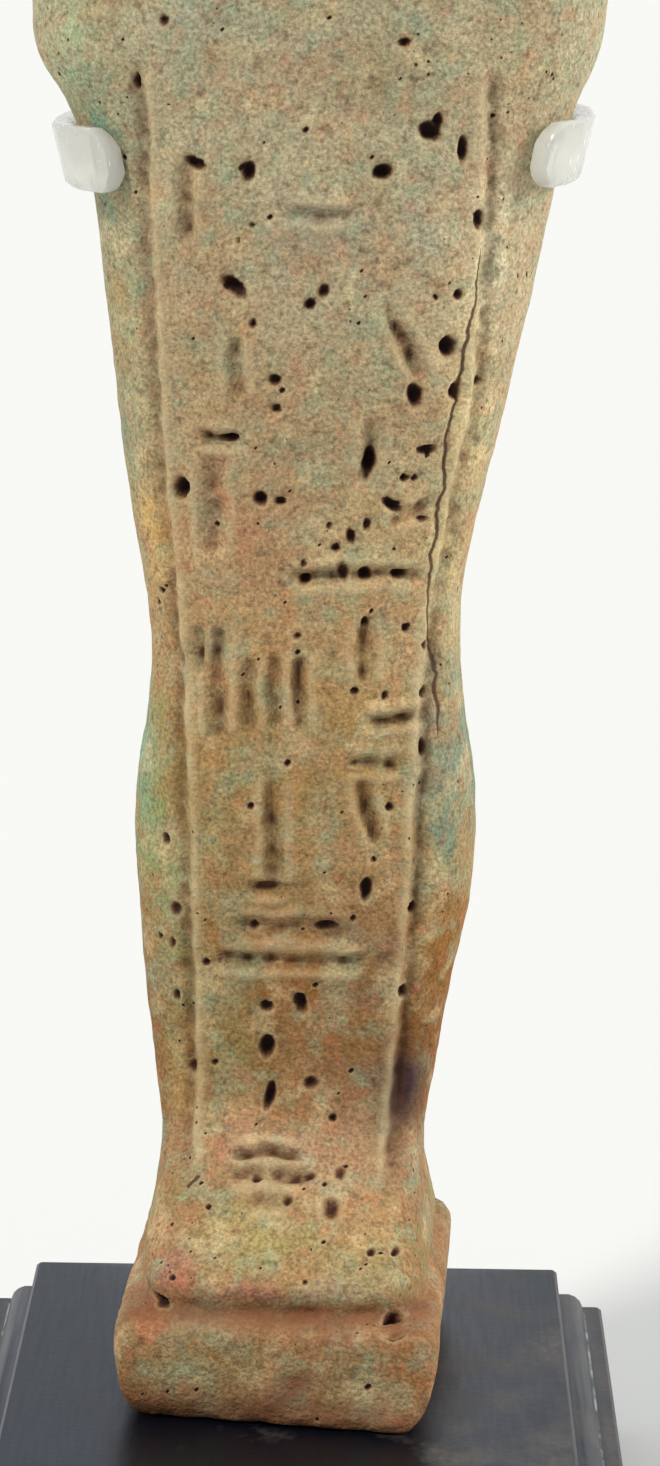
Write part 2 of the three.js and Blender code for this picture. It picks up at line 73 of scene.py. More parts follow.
# %% [markdown]
# The figurine was modelled in a frame of its own: the origin is in the middle of its base
# block's underside, x goes to its left hand's side as it faces us along -y, and z goes up.
# On the plinth it stands a little behind the middle and is turned by a few degrees. The worn
# places below are easier to give in that frame, in millimetres, so two small functions take
# points there and back.

# %% The figurine's own frame
FIGURE_X = -0.2
FIGURE_Y = 9.0
FIGURE_YAW = math.radians(-3.0)
CONTACT_GAP = 0.1

_, plinth_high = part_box("display_plinth")
figure_low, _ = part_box("ushabti")
figure_origin = np.array([FIGURE_X, FIGURE_Y, plinth_high.z / MM + CONTACT_GAP])


def turned(points, angle):
    """The points turned about the upright axis."""
    c, s = math.cos(angle), math.sin(angle)
    x, y = points[:, 0], points[:, 1]
    return np.column_stack([x * c - y * s, x * s + y * c, points[:, 2]])


def figure_points(points):
    """Points in metres in the part's frame, as millimetres in the figurine's own."""
    return turned(points / MM - figure_origin, -FIGURE_YAW)


print("figurine stands at z, mm:", round(figure_low.z / MM, 2))

# %% [markdown]
# The camera looks slightly down at the figurine from straight in front, through a long lens, so
# upright edges stay nearly parallel. It is made early, because every later choice is judged
# through it.

# %% Camera
CAMERA_PLACE = Vector((6.337, -352.98, 168.46)) * MM
CAMERA_YAW = 0.0094
CAMERA_DOWN = 0.2405
CAMERA_ROLL = 0.0119
LENS_MM = 99.45
SENSOR_MM = 36.0
SEES_FROM, SEES_TO = 0.01, 20.0  # in metres

camera_data = bpy.data.cameras.new("view_camera")
camera_data.lens = LENS_MM
camera_data.sensor_width = SENSOR_MM
camera_data.clip_start = SEES_FROM
camera_data.clip_end = SEES_TO
camera = bpy.data.objects.new("view_camera", camera_data)
bpy.context.scene.collection.objects.link(camera)
camera.matrix_world = (
    Matrix.Translation(CAMERA_PLACE)
    @ Matrix.Rotation(CAMERA_YAW, 4, "Z")
    @ Matrix.Rotation(math.pi / 2 - CAMERA_DOWN, 4, "X")
    @ Matrix.Rotation(CAMERA_ROLL, 4, "Z")
)
bpy.context.scene.camera = camera
print("camera at", [round(v, 3) for v in camera.location])

# %% [markdown]
# Colours are written as sRGB hex values, as a paint chart gives them. A shader wants linear
# light, so one function turns them. A second one adds a node: its plain values, its links and
# its settings in one call, which keeps each material readable from top to bottom.

# %% Colour and node helpers


def linear(hex_colour):
    """An sRGB hex colour as linear red, green, blue and a full alpha."""
    channels = [int(hex_colour[i : i + 2], 16) / 255 for i in (1, 3, 5)]
    return (*[c / 12.92 if c <= 0.04045 else ((c + 0.055) / 1.055) ** 2.4 for c in channels], 1)


def add(tree, kind, inputs=None, **settings):
    """A new node. An input is a plain value, or another node's output to link."""
    made = tree.nodes.new(kind)
    for name, value in settings.items():
        setattr(made, name, value)
    for key, value in (inputs or {}).items():
        if isinstance(value, bpy.types.NodeSocket):
            tree.links.new(value, made.inputs[key])
        else:
            made.inputs[key].default_value = value
    return made


def new_material(name):
    """A material with an empty tree, its tree, and its shader linked to the output."""
    material = bpy.data.materials.new(name)
    material.use_nodes = True
    tree = material.node_tree
    tree.nodes.clear()
    shader = add(tree, "ShaderNodeBsdfPrincipled")
    add(tree, "ShaderNodeOutputMaterial", {"Surface": shader.outputs[0]})
    return material, tree, shader


print("white is", [round(v, 3) for v in linear("#ffffff")])

# %% [markdown]
# The studio is a plain pale floor that starts a little in front of the object and runs on
# behind it, and a white surround that is bright behind and at the sides and dim behind the
# camera. That draws the bright edges of the hips. A soft sun from the upper left models the
# carving, and a wide low one lights the right side. Suns reach the far floor as brightly as the
# near. The floor isn't part of the object.

# %% Floor and light
FLOOR_FRONT = -0.22
FLOOR_BACK = 7.0
FLOOR_HALF_WIDTH = 4.0
bpy.ops.mesh.primitive_plane_add(size=1, location=(0, (FLOOR_FRONT + FLOOR_BACK) / 2, cad_low.z))
floor = bpy.context.object
floor.name = "studio_floor"
floor.scale = (2 * FLOOR_HALF_WIDTH, FLOOR_BACK - FLOOR_FRONT, 1)
bpy.ops.object.transform_apply(location=True, rotation=True, scale=True)
floor_material, _, floor_shader = new_material("studio_paper")
floor_shader.inputs["Base Color"].default_value = linear("#d4d5d3")
floor_shader.inputs["Roughness"].default_value = 0.9
floor_shader.inputs["Specular IOR Level"].default_value = 0.1
floor.data.materials.append(floor_material)

# The surround's strength behind the camera and behind the object, and the part of the way from
# front to back, as a direction's y, over which it rises.
DIM_FRONT, BRIGHT_BACK = 0.42, 0.95
RISES_FROM, RISES_TO = -0.75, 0.1
world = bpy.data.worlds.new("white_surround")
bpy.context.scene.world = world
world.use_nodes = True
surround = world.node_tree
background = surround.nodes["Background"]
background.inputs["Color"].default_value = linear("#f6f9fc")
towards = add(surround, "ShaderNodeTexCoord").outputs["Generated"]
towards_back = add(surround, "ShaderNodeSeparateXYZ", {"Vector": towards})
brightness = add(
    surround,
    "ShaderNodeMapRange",
    {
        "Value": towards_back.outputs["Y"],
        "From Min": RISES_FROM,
        "From Max": RISES_TO,
        "To Min": DIM_FRONT,
        "To Max": BRIGHT_BACK,
    },
)
surround.links.new(brightness.outputs[0], background.inputs["Strength"])

# Each sun: how far left of the camera it stands and how high, in degrees, its strength, how
# wide it looks, in degrees, and its colour.
SUNS = {
    "key_sun": (42, 46, 2.0, 11, "#fffaf1"),
    "right_sun": (-84, 22, 2.1, 24, "#fffbf6"),
}
for name, (left, up, strength, width, colour) in SUNS.items():
    sun_data = bpy.data.lights.new(name, "SUN")
    sun_data.energy = strength
    sun_data.angle = math.radians(width)
    sun_data.color = linear(colour)[:3]
    sun = bpy.data.objects.new(name, sun_data)
    bpy.context.scene.collection.objects.link(sun)
    turn, rise = math.radians(left), math.radians(up)
    stand = Vector(
        (-math.sin(turn) * math.cos(rise), -math.cos(turn) * math.cos(rise), math.sin(rise))
    )
    sun.location = stand
    sun.rotation_euler = stand.to_track_quat("Z", "Y").to_euler()
bpy.context.scene.view_settings.view_transform = "Standard"
bpy.context.scene.view_settings.look = "None"
print("suns:", len(SUNS))

# %% [markdown]
# A CAD node's mesh is loose triangles. To shape a copy of it, the copy's doubled points are
# merged first, so that it is one skin. It is then cut off from the frame's empties, with its
# place in its mesh, and takes over from the solid.

# %% Copies of the solids
WELD = 1e-6
NEARLY_FLAT = math.radians(1.0)


def only(piece):
    """Selects this piece alone and makes it active."""
    bpy.ops.object.select_all(action="DESELECT")
    piece.select_set(True)
    bpy.context.view_layer.objects.active = piece


def copy_of(node, name):
    """A merged copy of a CAD node's mesh, at the origin."""
    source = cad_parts[node]
    piece = bpy.data.objects.new(name, source.data.copy())
    piece.data.name = name
    piece.data.materials.clear()
    bpy.context.scene.collection.objects.link(piece)
    only(piece)
    bpy.ops.object.mode_set(mode="EDIT")
    bpy.ops.mesh.select_all(action="SELECT")
    bpy.ops.mesh.remove_doubles(threshold=WELD)
    bpy.ops.object.mode_set(mode="OBJECT")
    print(name, "starts with", len(piece.data.polygons), "faces")
    return piece


def join_flat_faces(piece):
    """Joins the triangles of each flat face into one face."""
    only(piece)
    bpy.ops.object.mode_set(mode="EDIT")
    bpy.ops.mesh.select_all(action="SELECT")
    bpy.ops.mesh.dissolve_limited(angle_limit=NEARLY_FLAT)
    bpy.ops.object.mode_set(mode="OBJECT")


def apply_modifier(piece, kind, **settings):
    """Adds a modifier with its settings and applies it at once."""
    only(piece)
    modifier = piece.modifiers.new(kind.lower(), kind)
    for key, value in settings.items():
        setattr(modifier, key, value)
    bpy.ops.object.modifier_apply(modifier=modifier.name)


# %% [markdown]
# The figurine's skin. The real one was pressed in a mould, dried and fired, then lay in the
# ground for some 2,500 years, so it has no sharp edge left. It could be sculpted by hand, but a
# voxel remesh of the solid gives an even skin of small squares that can be worn down in code.
# The remesh wraps the joined wig, arms and foot in one closed surface. A smoothing pass then
# melts the solid's flat facets, much on the plain wrapped body and little on the face and hands.

# %% An even skin over the figurine
# Sizes in millimetres, and how strongly each region is melted, from 0 to 1.
VOXEL = 0.76
BODY_SMOOTHING = 34
DETAIL_SMOOTHING = 3
MELT_STEPS = 10
FOOT_TO_SHIN = (20, 34)
SHIN_TO_ELBOW = (110, 119)
BODY_TO_CARVING = (128, 138)
BACK_FROM_Y = (4, 9)
BACK_TO_Z = 176
KEPT_AT_ELBOWS = 0.65
MELT_OF_BACK = 0.8

ushabti = copy_of("ushabti", "faience_ushabti")
apply_modifier(ushabti, "REMESH", mode="VOXEL", voxel_size=VOXEL * MM)


def skin_of(piece):
    """The piece's points and normals as arrays."""
    count = len(piece.data.vertices)
    points = np.empty(count * 3)
    normals = np.empty(count * 3)
    piece.data.vertices.foreach_get("co", points)
    piece.data.vertex_normals.foreach_get("vector", normals)
    return points.reshape(-1, 3), normals.reshape(-1, 3)


def smoothstep(low, high, value):
    """0 below low, 1 above high, and a soft ramp between them."""
    t = np.clip((value - low) / (high - low), 0, 1)
    return t * t * (3 - 2 * t)


points, normals = skin_of(ushabti)
own = figure_points(points)
plain = 1 - smoothstep(*BODY_TO_CARVING, own[:, 2])
plain *= smoothstep(*FOOT_TO_SHIN, own[:, 2])
plain *= 1 - KEPT_AT_ELBOWS * smoothstep(*SHIN_TO_ELBOW, own[:, 2])
plain_back = smoothstep(*BACK_FROM_Y, own[:, 1]) * (own[:, 2] < BACK_TO_Z)
plain_back *= smoothstep(*FOOT_TO_SHIN, own[:, 2])
plain = np.maximum(plain, plain_back * MELT_OF_BACK)
melt = ushabti.vertex_groups.new(name="melt")
for step in range(1, MELT_STEPS + 1):
    chosen = np.nonzero(np.round(plain * MELT_STEPS) == step)[0]
    melt.add(chosen.tolist(), step / MELT_STEPS, "REPLACE")
apply_modifier(ushabti, "SMOOTH", factor=0.5, iterations=BODY_SMOOTHING, vertex_group="melt")
apply_modifier(ushabti, "SMOOTH", factor=0.5, iterations=DETAIL_SMOOTHING)
ushabti.vertex_groups.clear()
print("skin:", len(ushabti.data.polygons), "faces")

# %% [markdown]
# The front carries the inscription's panel, the pits and the cracks, so it gets finer squares
# than the plain back and sides. So do the foot's upper side and the face. The faces are picked
# by where they look and where they lie, and are subdivided once.

# %% Finer squares on the front
FRONT_FACING = -0.45
UPWARD_FACING = 0.3
FINE_TO_Z = 128.5
FOOT_TO_Z = 24
FACE_FROM_Z = 166
FACE_HALF_WIDTH = 12.5

only(ushabti)
bpy.ops.object.mode_set(mode="EDIT")
bpy.ops.mesh.select_all(action="DESELECT")
bpy.ops.object.mode_set(mode="OBJECT")
face_count = len(ushabti.data.polygons)
face_normals = np.empty(face_count * 3)
face_middles = np.empty(face_count * 3)
ushabti.data.polygon_normals.foreach_get("vector", face_normals)
ushabti.data.polygons.foreach_get("center", face_middles)
face_own = figure_points(face_middles.reshape(-1, 3))
face_x, face_y, face_z = face_own.T
facing = face_normals.reshape(-1, 3)[:, 1] < FRONT_FACING
upward = face_normals.reshape(-1, 3)[:, 2] > UPWARD_FACING
foot_top = upward & (face_z < FOOT_TO_Z) & (face_y < 0)
fine = (facing | foot_top) & (face_z < FINE_TO_Z)
head_front = facing & (face_z > FACE_FROM_Z) & (np.abs(face_x) < FACE_HALF_WIDTH)
ushabti.data.polygons.foreach_set("select", fine | head_front)
bpy.ops.object.mode_set(mode="EDIT")
bpy.ops.mesh.select_mode(type="FACE")
bpy.ops.mesh.subdivide(number_cuts=1, smoothness=0)
bpy.ops.object.mode_set(mode="OBJECT")
print("skin with a finer front:", len(ushabti.data.vertices), "points")

# %% [markdown]
# The carving and the wear are moves of the skin along its normals, in millimetres, which is what
# a sculpting brush does. Each mark is a soft function of the distance from a line or a spot.
# The panel's side lines are grooves with a raised ridge beside them. The inscription is worn so
# far that rows of plain gouges stand for it. They spell nothing.

# %% Panel lines and worn gouges
# The panel's side lines: [z, left, right].
PANEL_LINES = np.array(
    [
        [22, -9.4, 9.7],
        [31, -9.2, 10.4],
        [47, -9.6, 11.6],
        [66, -10.2, 12.4],
        [75, -11, 13.1],
        [84, -11.8, 14.6],
        [94, -12.4, 16.5],
        [107, -13, 17],
        [121, -13.2, 17.2],
    ]
)
# The gouges, top to bottom: [middle x, middle z, length, degrees turned off upright, width].
GOUGES = [
    [-9.3, 110.4, 6.4, 0, 1.5],
    [2.6, 109.6, 5.4, 90, 1.2],
    [-4.8, 95.8, 5, 0, 1.4],
    [9.9, 98.4, 6.6, -24, 1.3],
    [-6.3, 89.5, 3.8, 90, 1.3],
    [7, 88.8, 5.6, 6, 1.5],
    [-6.9, 83.2, 8.8, 0, 2],
    [10.4, 82.9, 3.8, 60, 1.3],
    [5.6, 77.2, 10.6, 90, 1.5],
    [-8.4, 70, 3.8, 0, 1.3],
    [-6.6, 67, 9.6, 0, 1.8],
    [-3.7, 66, 6.4, 0, 1.4],
    [-1.3, 66.6, 6.4, 0, 1.4],
    [1, 66.5, 6.8, 0, 1.4],
    [6.7, 70.3, 5.8, 0, 1.4],
    [9.5, 63.9, 4.4, 90, 1.4],
    [-1.3, 53.4, 9.8, 0, 1.6],
    [7.4, 59.8, 4.4, 90, 1.4],
    [7.2, 55.4, 6, -12, 1.4],
    [-1.7, 47.8, 3.6, 90, 1.4],
    [0.3, 44, 9.8, 90, 1.8],
    [0.3, 40.6, 13.4, 90, 1.5],
    [-1.9, 22.4, 5.6, 90, 1.2],
    [-1.5, 20.8, 7.4, 90, 1.2],
    [-1.5, 19.2, 3.6, 90, 1.2],
]
# Depths, heights, widths and places, in millimetres. A width is where the mark has faded to a
# third. The gouges' widths are shares of the width in their row.
GOUGE_DEPTH = 0.85
GOUGE_WIDTH = 0.38
RIM_HEIGHT = 0.2
RIM_PLACE, RIM_WIDTH = 0.85, 0.4
GROOVE_DEPTH = 0.6
GROOVE_WIDTH = 0.6
RIDGE_HEIGHT = 0.35
RIDGE_PLACE, RIDGE_WIDTH = 1.1, 0.5
PANEL_FOOT = (19, 23)
PANEL_HEAD = (120, 123)


def roughly(points, size, seed=0.0):
    """Smooth noise at each point, from -1 to 1, with lumps of that size in millimetres."""
    shift = Vector((seed, seed * 0.7, -seed))
    return np.array([noise.noise(Vector(p) / size + shift) for p in points])


points, normals = skin_of(ushabti)
own = figure_points(points)
own_x, own_y, own_z = own.T
front = smoothstep(0.15, 0.45, -normals[:, 1])
waver = roughly(own, 3.2, 5)
fine_waver = roughly(own, 1.1, 9)

move = np.zeros(len(own))  # along the normal, in millimetres
# hollow_dirt_and_shade darkens the floor of the carving with brown, standing both for settled
# dirt and for painted shade.
hollow_dirt_and_shade = np.zeros(len(own))  # 1 at the bottom of a carved mark
# ridge_highlight is a painted highlight: the crests of the raised lines and the gouges' rims are
# painted lighter.
ridge_highlight = np.zeros(len(own))  # 1 on the crest of a raised line

left_line = np.interp(own_z, PANEL_LINES[:, 0], PANEL_LINES[:, 1])
right_line = np.interp(own_z, PANEL_LINES[:, 0], PANEL_LINES[:, 2])
on_panel = smoothstep(*PANEL_FOOT, own_z) * (1 - smoothstep(*PANEL_HEAD, own_z)) * front
for line, side in ((left_line, 1), (right_line, -1)):
    across = own_x - line + 0.25 * waver
    groove = np.exp(-((across / GROOVE_WIDTH) ** 2)) * on_panel * (0.75 + 0.6 * fine_waver)
    ridge = np.exp(-(((across - side * RIDGE_PLACE) / RIDGE_WIDTH) ** 2)) * on_panel
    ridge *= 0.85 + 0.5 * waver
    move += RIDGE_HEIGHT * ridge - GROOVE_DEPTH * groove
    ridge_highlight = np.maximum(ridge_highlight, ridge)
    hollow_dirt_and_shade = np.maximum(hollow_dirt_and_shade, 0.65 * groove)

# How much of a gouge is left at each point.
wear_and_edge_highlight = np.clip(0.9 + 0.5 * fine_waver + 0.6 * roughly(own, 5, 40), 0.35, 1.3)
for middle_x, middle_z, length, degrees, width in GOUGES:
    turn = math.radians(degrees)
    dx, dz = own_x - middle_x, own_z - middle_z
    along = dx * math.sin(turn) + dz * math.cos(turn)
    across = dx * math.cos(turn) - dz * math.sin(turn) + 0.4 * waver + 0.1 * fine_waver
    within = 1 - smoothstep(length / 2 - 0.8, length / 2 + 0.6, np.abs(along) + 0.5 * waver)
    cut = np.exp(-((across / (GOUGE_WIDTH * width)) ** 2)) * within * front * wear_and_edge_highlight
    off_rim = (np.abs(across) - RIM_PLACE * width) / RIM_WIDTH
    rim = np.exp(-(off_rim**2)) * within * front
    move += RIM_HEIGHT * rim - GOUGE_DEPTH * cut
    ridge_highlight = np.maximum(ridge_highlight, 0.7 * rim * (1 - cut))
    hollow_dirt_and_shade = np.maximum(hollow_dirt_and_shade, 0.45 * cut + cut**2 * (0.25 + 0.7 * fine_waver))
print("gouges:", len(GOUGES), "deepest, mm:", round(float(-move.min()), 2))

# %% [markdown]
# Pits are where gas or a grain of salt left a hole in the fired paste. They are oval and steep,
# and their insides are painted dark as shade, the darker the deeper. The main ones are placed
# one by one, and 300 small ones are scattered with a fixed seed. Each point also keeps how far
# inside a pit it lies, so the material can draw the hole's painted shade and the pale rim with
# crisp edges.

# %% Pits
# The main pits: [x, z, width, height, degrees turned, depth].
PITS = [
    [-11, 126, 0.8, 0.9, 0, 0.6],
    [-13.6, 120.5, 0.7, 1.5, 0, 0.8],
    [9.6, 124.5, 1.0, 0.8, 0, 0.8],
    [11.9, 116.8, 2.0, 1.5, -20, 1.1],
    [12.6, 117.7, 0.9, 1.2, 0, 1.0],
    [14.7, 115.3, 0.9, 2.1, 0, 0.9],
    [-8.5, 113.8, 2.1, 1.0, -18, 0.9],
    [-3.7, 113.2, 1.2, 1.6, 0, 1.1],
    [7.8, 113.4, 1.7, 1.3, 0, 1.2],
    [16.1, 109.2, 1.0, 1.9, 0, 1.0],
    [-3.4, 108.6, 0.5, 0.6, 0, 0.5],
    [-4.6, 107.2, 0.45, 0.5, 0, 0.5],
    [-5, 103.2, 2.5, 1.2, -35, 1.2],
    [2.9, 103, 0.9, 1.1, 0, 0.7],
    [1.7, 101.8, 0.9, 0.9, 0, 0.9],
    [14.5, 102.6, 0.8, 0.9, 0, 0.7],
    [-3.3, 100, 0.7, 0.8, 0, 0.6],
    [13.7, 97.9, 1.4, 1.8, 0, 1.2],
    [-1.4, 95, 1.0, 0.9, 0, 0.8],
    [10.9, 93.7, 1.5, 1.9, 0, 1.2],
    [14.3, 93.9, 1.0, 1.4, 0, 0.9],
    [16.5, 94.5, 0.7, 0.8, 0, 0.6],
    [-1.2, 92.4, 0.9, 0.7, 0, 0.7],
    [-5.5, 89.5, 1.9, 0.7, 0, 0.9],
    [-9.9, 84.7, 1.2, 2.1, -6, 1.2],
    [-2.7, 84.2, 1.3, 1.2, 20, 1.1],
    [-0.9, 84, 1.1, 0.7, 0, 0.8],
    [7, 87.6, 1.2, 2.4, -12, 1.2],
    [11.9, 88.7, 1.7, 0.8, 15, 0.9],
    [10, 86.2, 0.8, 0.8, 0, 0.8],
    [9, 83.7, 1.8, 0.9, -35, 1.0],
    [11.6, 82.3, 0.9, 0.5, 0, 0.6],
    [6.8, 82, 0.7, 1.2, 0, 0.8],
    [5.4, 80.9, 0.8, 1.4, 15, 0.8],
    [3.5, 81.9, 0.6, 0.7, 0, 0.6],
    [4.1, 79.9, 0.8, 0.8, 0, 0.8],
    [1.2, 78.4, 0.5, 0.6, 0, 0.6],
    [4.7, 77.7, 1.0, 1.8, 12, 0.6],
    [6.7, 77.5, 1.2, 1.3, 0, 0.9],
    [9.8, 77.3, 1.4, 0.9, 0, 0.9],
    [1.3, 76.8, 1.2, 0.8, 0, 0.9],
    [6.7, 73, 0.8, 1.0, 0, 0.8],
    [10.3, 72.3, 0.7, 0.8, 0, 0.6],
    [0.7, 71.8, 0.7, 0.6, 0, 0.5],
    [12, 70.5, 0.8, 0.9, 0, 0.7],
    [12, 66.2, 0.8, 1.1, 0, 0.7],
    [12.1, 61, 0.8, 1.6, 0, 0.7],
    [5.9, 66.7, 0.8, 0.7, 0, 0.7],
    [8.5, 66.2, 0.7, 0.8, 0, 0.6],
    [9.1, 55.8, 0.8, 0.8, 0, 0.7],
    [-11.5, 51.7, 0.7, 1.1, 0, 0.6],
    [7.1, 48, 1.1, 2.1, 0, 1.2],
    [11.3, 45.8, 0.9, 1.1, 0, 0.8],
    [-10.6, 45, 1.0, 1.3, 0, 0.5],
    [-3.2, 44, 0.8, 0.8, 0, 0.5],
    [3.4, 44.2, 2.2, 0.9, 0, 0.7],
    [-10.9, 41.6, 0.6, 1.1, 0, 0.5],
    [-6.4, 40.4, 0.5, 0.5, 0, 0.5],
    [10.5, 37.5, 0.9, 1.2, 0, 0.7],
    [-10.5, 36.5, 0.6, 1.0, 0, 0.6],
    [-2, 36.2, 1.3, 1.0, 10, 0.9],
    [1.1, 36.6, 1.1, 2.2, 20, 1.2],
    [-2, 32, 1.4, 2.1, 0, 1.3],
    [-9.1, 29.5, 0.9, 1.2, 0, 0.5],
    [2.1, 28.7, 1.2, 1.2, 0, 0.6],
    [-1.7, 27.3, 1.0, 2.6, -14, 1.1],
    [4.2, 25.4, 0.8, 0.7, 0, 0.7],
    [-2.6, 20.7, 1.0, 0.7, 0, 0.6],
    [2.4, 20.9, 1.0, 0.5, 0, 0.5],
    [5.1, 21.1, 0.9, 0.9, 0, 0.4],
    [0.5, 19.2, 0.8, 0.7, 0, 0.5],
    [4.5, 18.7, 1.3, 1.4, 0, 0.4],
    [8.4, 15.7, 0.7, 0.6, 0, 0.6],
    [10.6, 15.4, 0.8, 0.6, 0, 0.6],
    [-11, 10.7, 1.9, 0.9, -12, 0.9],
    [10.7, 9.8, 1.8, 1.5, 0, 1.5],
]
# The dark inside a pit is painted shade.
SHADE_FROM_DEPTH = 1.0  # a pit as deep as this is dark right up to its edge
PIT_WEAR = 1.08  # the worn mouth of a pit is this much wider than the hole
SMALL_PITS = 300
SMALL_PIT_WIDTHS = (0.25, 0.8)
SMALL_PIT_DEPTH = 0.7  # as a share of its width
SMALL_PIT_SHADE = 0.75
SEED = 11

pit = np.full(len(own), -1.0)  # 1 in a pit's middle, 0 on its edge, and less outside
pit_cut = np.zeros(len(own))
warp = 1 + 0.3 * roughly(own, 0.9, 3)
for middle_x, middle_z, width, height, degrees, depth in PITS:
    turn = math.radians(degrees)
    dx, dz = own_x - middle_x, own_z - middle_z
    side = (dx * math.cos(turn) + dz * math.sin(turn)) / (PIT_WEAR * width / 2)
    rise = (dz * math.cos(turn) - dx * math.sin(turn)) / (PIT_WEAR * height / 2)
    radius = np.hypot(side, rise) * warp + 3 * (1 - front)
    pit = np.maximum(pit, (1 - radius) * np.clip(depth / SHADE_FROM_DEPTH, 0.3, 1))
    pit_cut = np.maximum(pit_cut, depth * np.clip(1.12 - radius**2, 0, 1) ** 0.8)

scatter = np.random.default_rng(SEED)
spots = scatter.integers(0, len(own), SMALL_PITS)
low_width, high_width = SMALL_PIT_WIDTHS
for spot, luck in zip(spots, scatter.random(SMALL_PITS)):
    width = low_width + (high_width - low_width) * luck**3
    near = np.abs(own_z - own_z[spot]) < 2 * width
    distance = np.linalg.norm(own[near] - own[spot], axis=1) / (width / 2) * warp[near]
    pit[near] = np.maximum(pit[near], SMALL_PIT_SHADE * (1 - distance))
    hole = SMALL_PIT_DEPTH * width * np.clip(1.1 - distance**2, 0, 1)
    pit_cut[near] = np.maximum(pit_cut[near], hole)
move -= pit_cut
print("pits:", len(PITS) + SMALL_PITS)

# %% [markdown]
# One long hairline crack runs down the right of the panel, with a short one on the foot. A crack
# is finer than the skin's squares, so the cut is only hinted at in the shape, and each point
# keeps its signed distance from the crack's middle. The material draws the thin dark line where
# that distance crosses nought, which stays crisp at any square size.

# %% Cracks
# The long crack's course: [z, x].
CRACK = np.array(
    [
        [64, 13.3],
        [67, 13.2],
        [69.5, 12.9],
        [71.5, 12.5],
        [74, 12.1],
        [78.5, 12.4],
        [81, 12.8],
        [84, 13.1],
        [86.5, 13.6],
        [89.5, 13.6],
        [93, 14.4],
        [97, 15],
        [100.5, 15.7],
        [104.5, 16.3],
    ]
)
CRACK_FADE = 3.0
CRACK_CUT, CRACK_CUT_WIDTH = 0.28, 0.3
FAR_FROM_CRACK = 9.0
FOOT_CRACK_MIDDLE = (-8.4, 19.9)
FOOT_CRACK_HALF_LENGTH = 0.9

bends = 0.32 * np.array([noise.noise(Vector((0, 4, z / 2.1))) for z in own_z])
jags = 0.14 * np.array([noise.noise(Vector((3, 0, z / 0.6))) for z in own_z])
course = np.interp(own_z, CRACK[:, 0], CRACK[:, 1]) + bends + jags
crack = own_x - course
ends = smoothstep(CRACK[0, 0] - CRACK_FADE, CRACK[0, 0], own_z)
ends *= 1 - smoothstep(CRACK[-1, 0], CRACK[-1, 0] + CRACK_FADE, own_z)
crack_here = ends * front
move -= CRACK_CUT * np.exp(-((crack / CRACK_CUT_WIDTH) ** 2)) * crack_here
crack = np.where(crack_here > 0.02, crack / np.maximum(crack_here, 0.02), FAR_FROM_CRACK)

# The short one on the foot, from its upper right end down to its lower left.
foot_dx, foot_dz = own_x - FOOT_CRACK_MIDDLE[0], own_z - FOOT_CRACK_MIDDLE[1]
foot_along = 0.75 * foot_dx + 0.66 * foot_dz
foot_across = 0.66 * foot_dx - 0.75 * foot_dz + 0.1 * fine_waver
on_foot = np.abs(foot_along) < FOOT_CRACK_HALF_LENGTH
foot_crack = np.where(on_foot, foot_across, FAR_FROM_CRACK)
crack = np.where(np.abs(foot_crack) < np.abs(crack), foot_crack, crack)
crack = np.clip(crack, -FAR_FROM_CRACK, FAR_FROM_CRACK)
print("crack length, mm:", round(float(CRACK[-1, 0] - CRACK[0, 0]), 1))

# %% [markdown]
# The rest of the wear is gentle: low lumps all over, a finer graininess, the groove over the
# toes, and the base block's lower edge rubbed away unevenly. That groove gets a red-brown
# painted shade, the lower edge and a wedge above it a darker red-brown, and there is one violet
# patch on the right shin. All moves are then added up and applied once, and the values that the
# material needs are stored on the points.

# %% Wear, and the moves applied
# Lumps and grains: [size, height, seed], in millimetres.
LUMPS = [(7, 0.1, 21), (2.4, 0.1, 14), (0.9, 0.05, 33)]
TOE_GROOVE_Z, TOE_GROOVE_WIDTH, TOE_GROOVE_DEPTH = 10.5, 0.6, 0.2
EDGE_WEAR = 0.35
VIOLET_MIDDLE, VIOLET_HALF_SIZE = (10.6, 27.8), (2.1, 4.4)
VIOLET_GROOVE_DEPTH = 0.35

for size, lump_height, seed in LUMPS:
    move += lump_height * roughly(own, size, seed)
off_groove = (own_z - TOE_GROOVE_Z - 0.3 * waver) / TOE_GROOVE_WIDTH
toe_groove = np.exp(-(off_groove**2)) * smoothstep(11, 14, -own_y)
move -= TOE_GROOVE_DEPTH * toe_groove
hollow_dirt_and_shade = np.maximum(hollow_dirt_and_shade, 0.15 * toe_groove)
base_edge = (1 - smoothstep(0.2, 2.6, own_z)) * (0.35 + 0.65 * np.abs(waver))
move -= EDGE_WEAR * base_edge * (own_z > 0.4)

# A red-brown painted shade in the groove over the toes, and a darker red-brown along the base
# block's lower edge and in a wedge above it.
toe_shade_and_red_brown = np.exp(-(((own_z - 10.2 - 0.5 * waver) / 1.1) ** 2)) * smoothstep(9, 13, -own_y) * 0.9
toe_shade_and_red_brown = np.maximum(toe_shade_and_red_brown, 0.75 * (1 - smoothstep(0.5, 4.5, own_z + 1.4 * waver)) * front)
wedge_x = own_x - (own_z - 3.4) * 0.9 - 1.2
wedge = np.exp(-((wedge_x / 2.2) ** 2)) * (1 - smoothstep(4.6, 6.4, own_z)) * front
toe_shade_and_red_brown = np.maximum(toe_shade_and_red_brown, wedge)
violet_x = (own_x - VIOLET_MIDDLE[0]) / VIOLET_HALF_SIZE[0]
violet_z = (own_z - VIOLET_MIDDLE[1]) / VIOLET_HALF_SIZE[1]
violet = np.exp(-(violet_x**2 + violet_z**2)) * (1.15 + 0.5 * waver) * front
violet_groove = np.exp(-(((own_x - 10.4) / 0.5) ** 2 + ((own_z - 27.8) / 3) ** 2)) * front
move -= VIOLET_GROOVE_DEPTH * violet_groove
hollow_dirt_and_shade = np.maximum(hollow_dirt_and_shade, violet_groove)

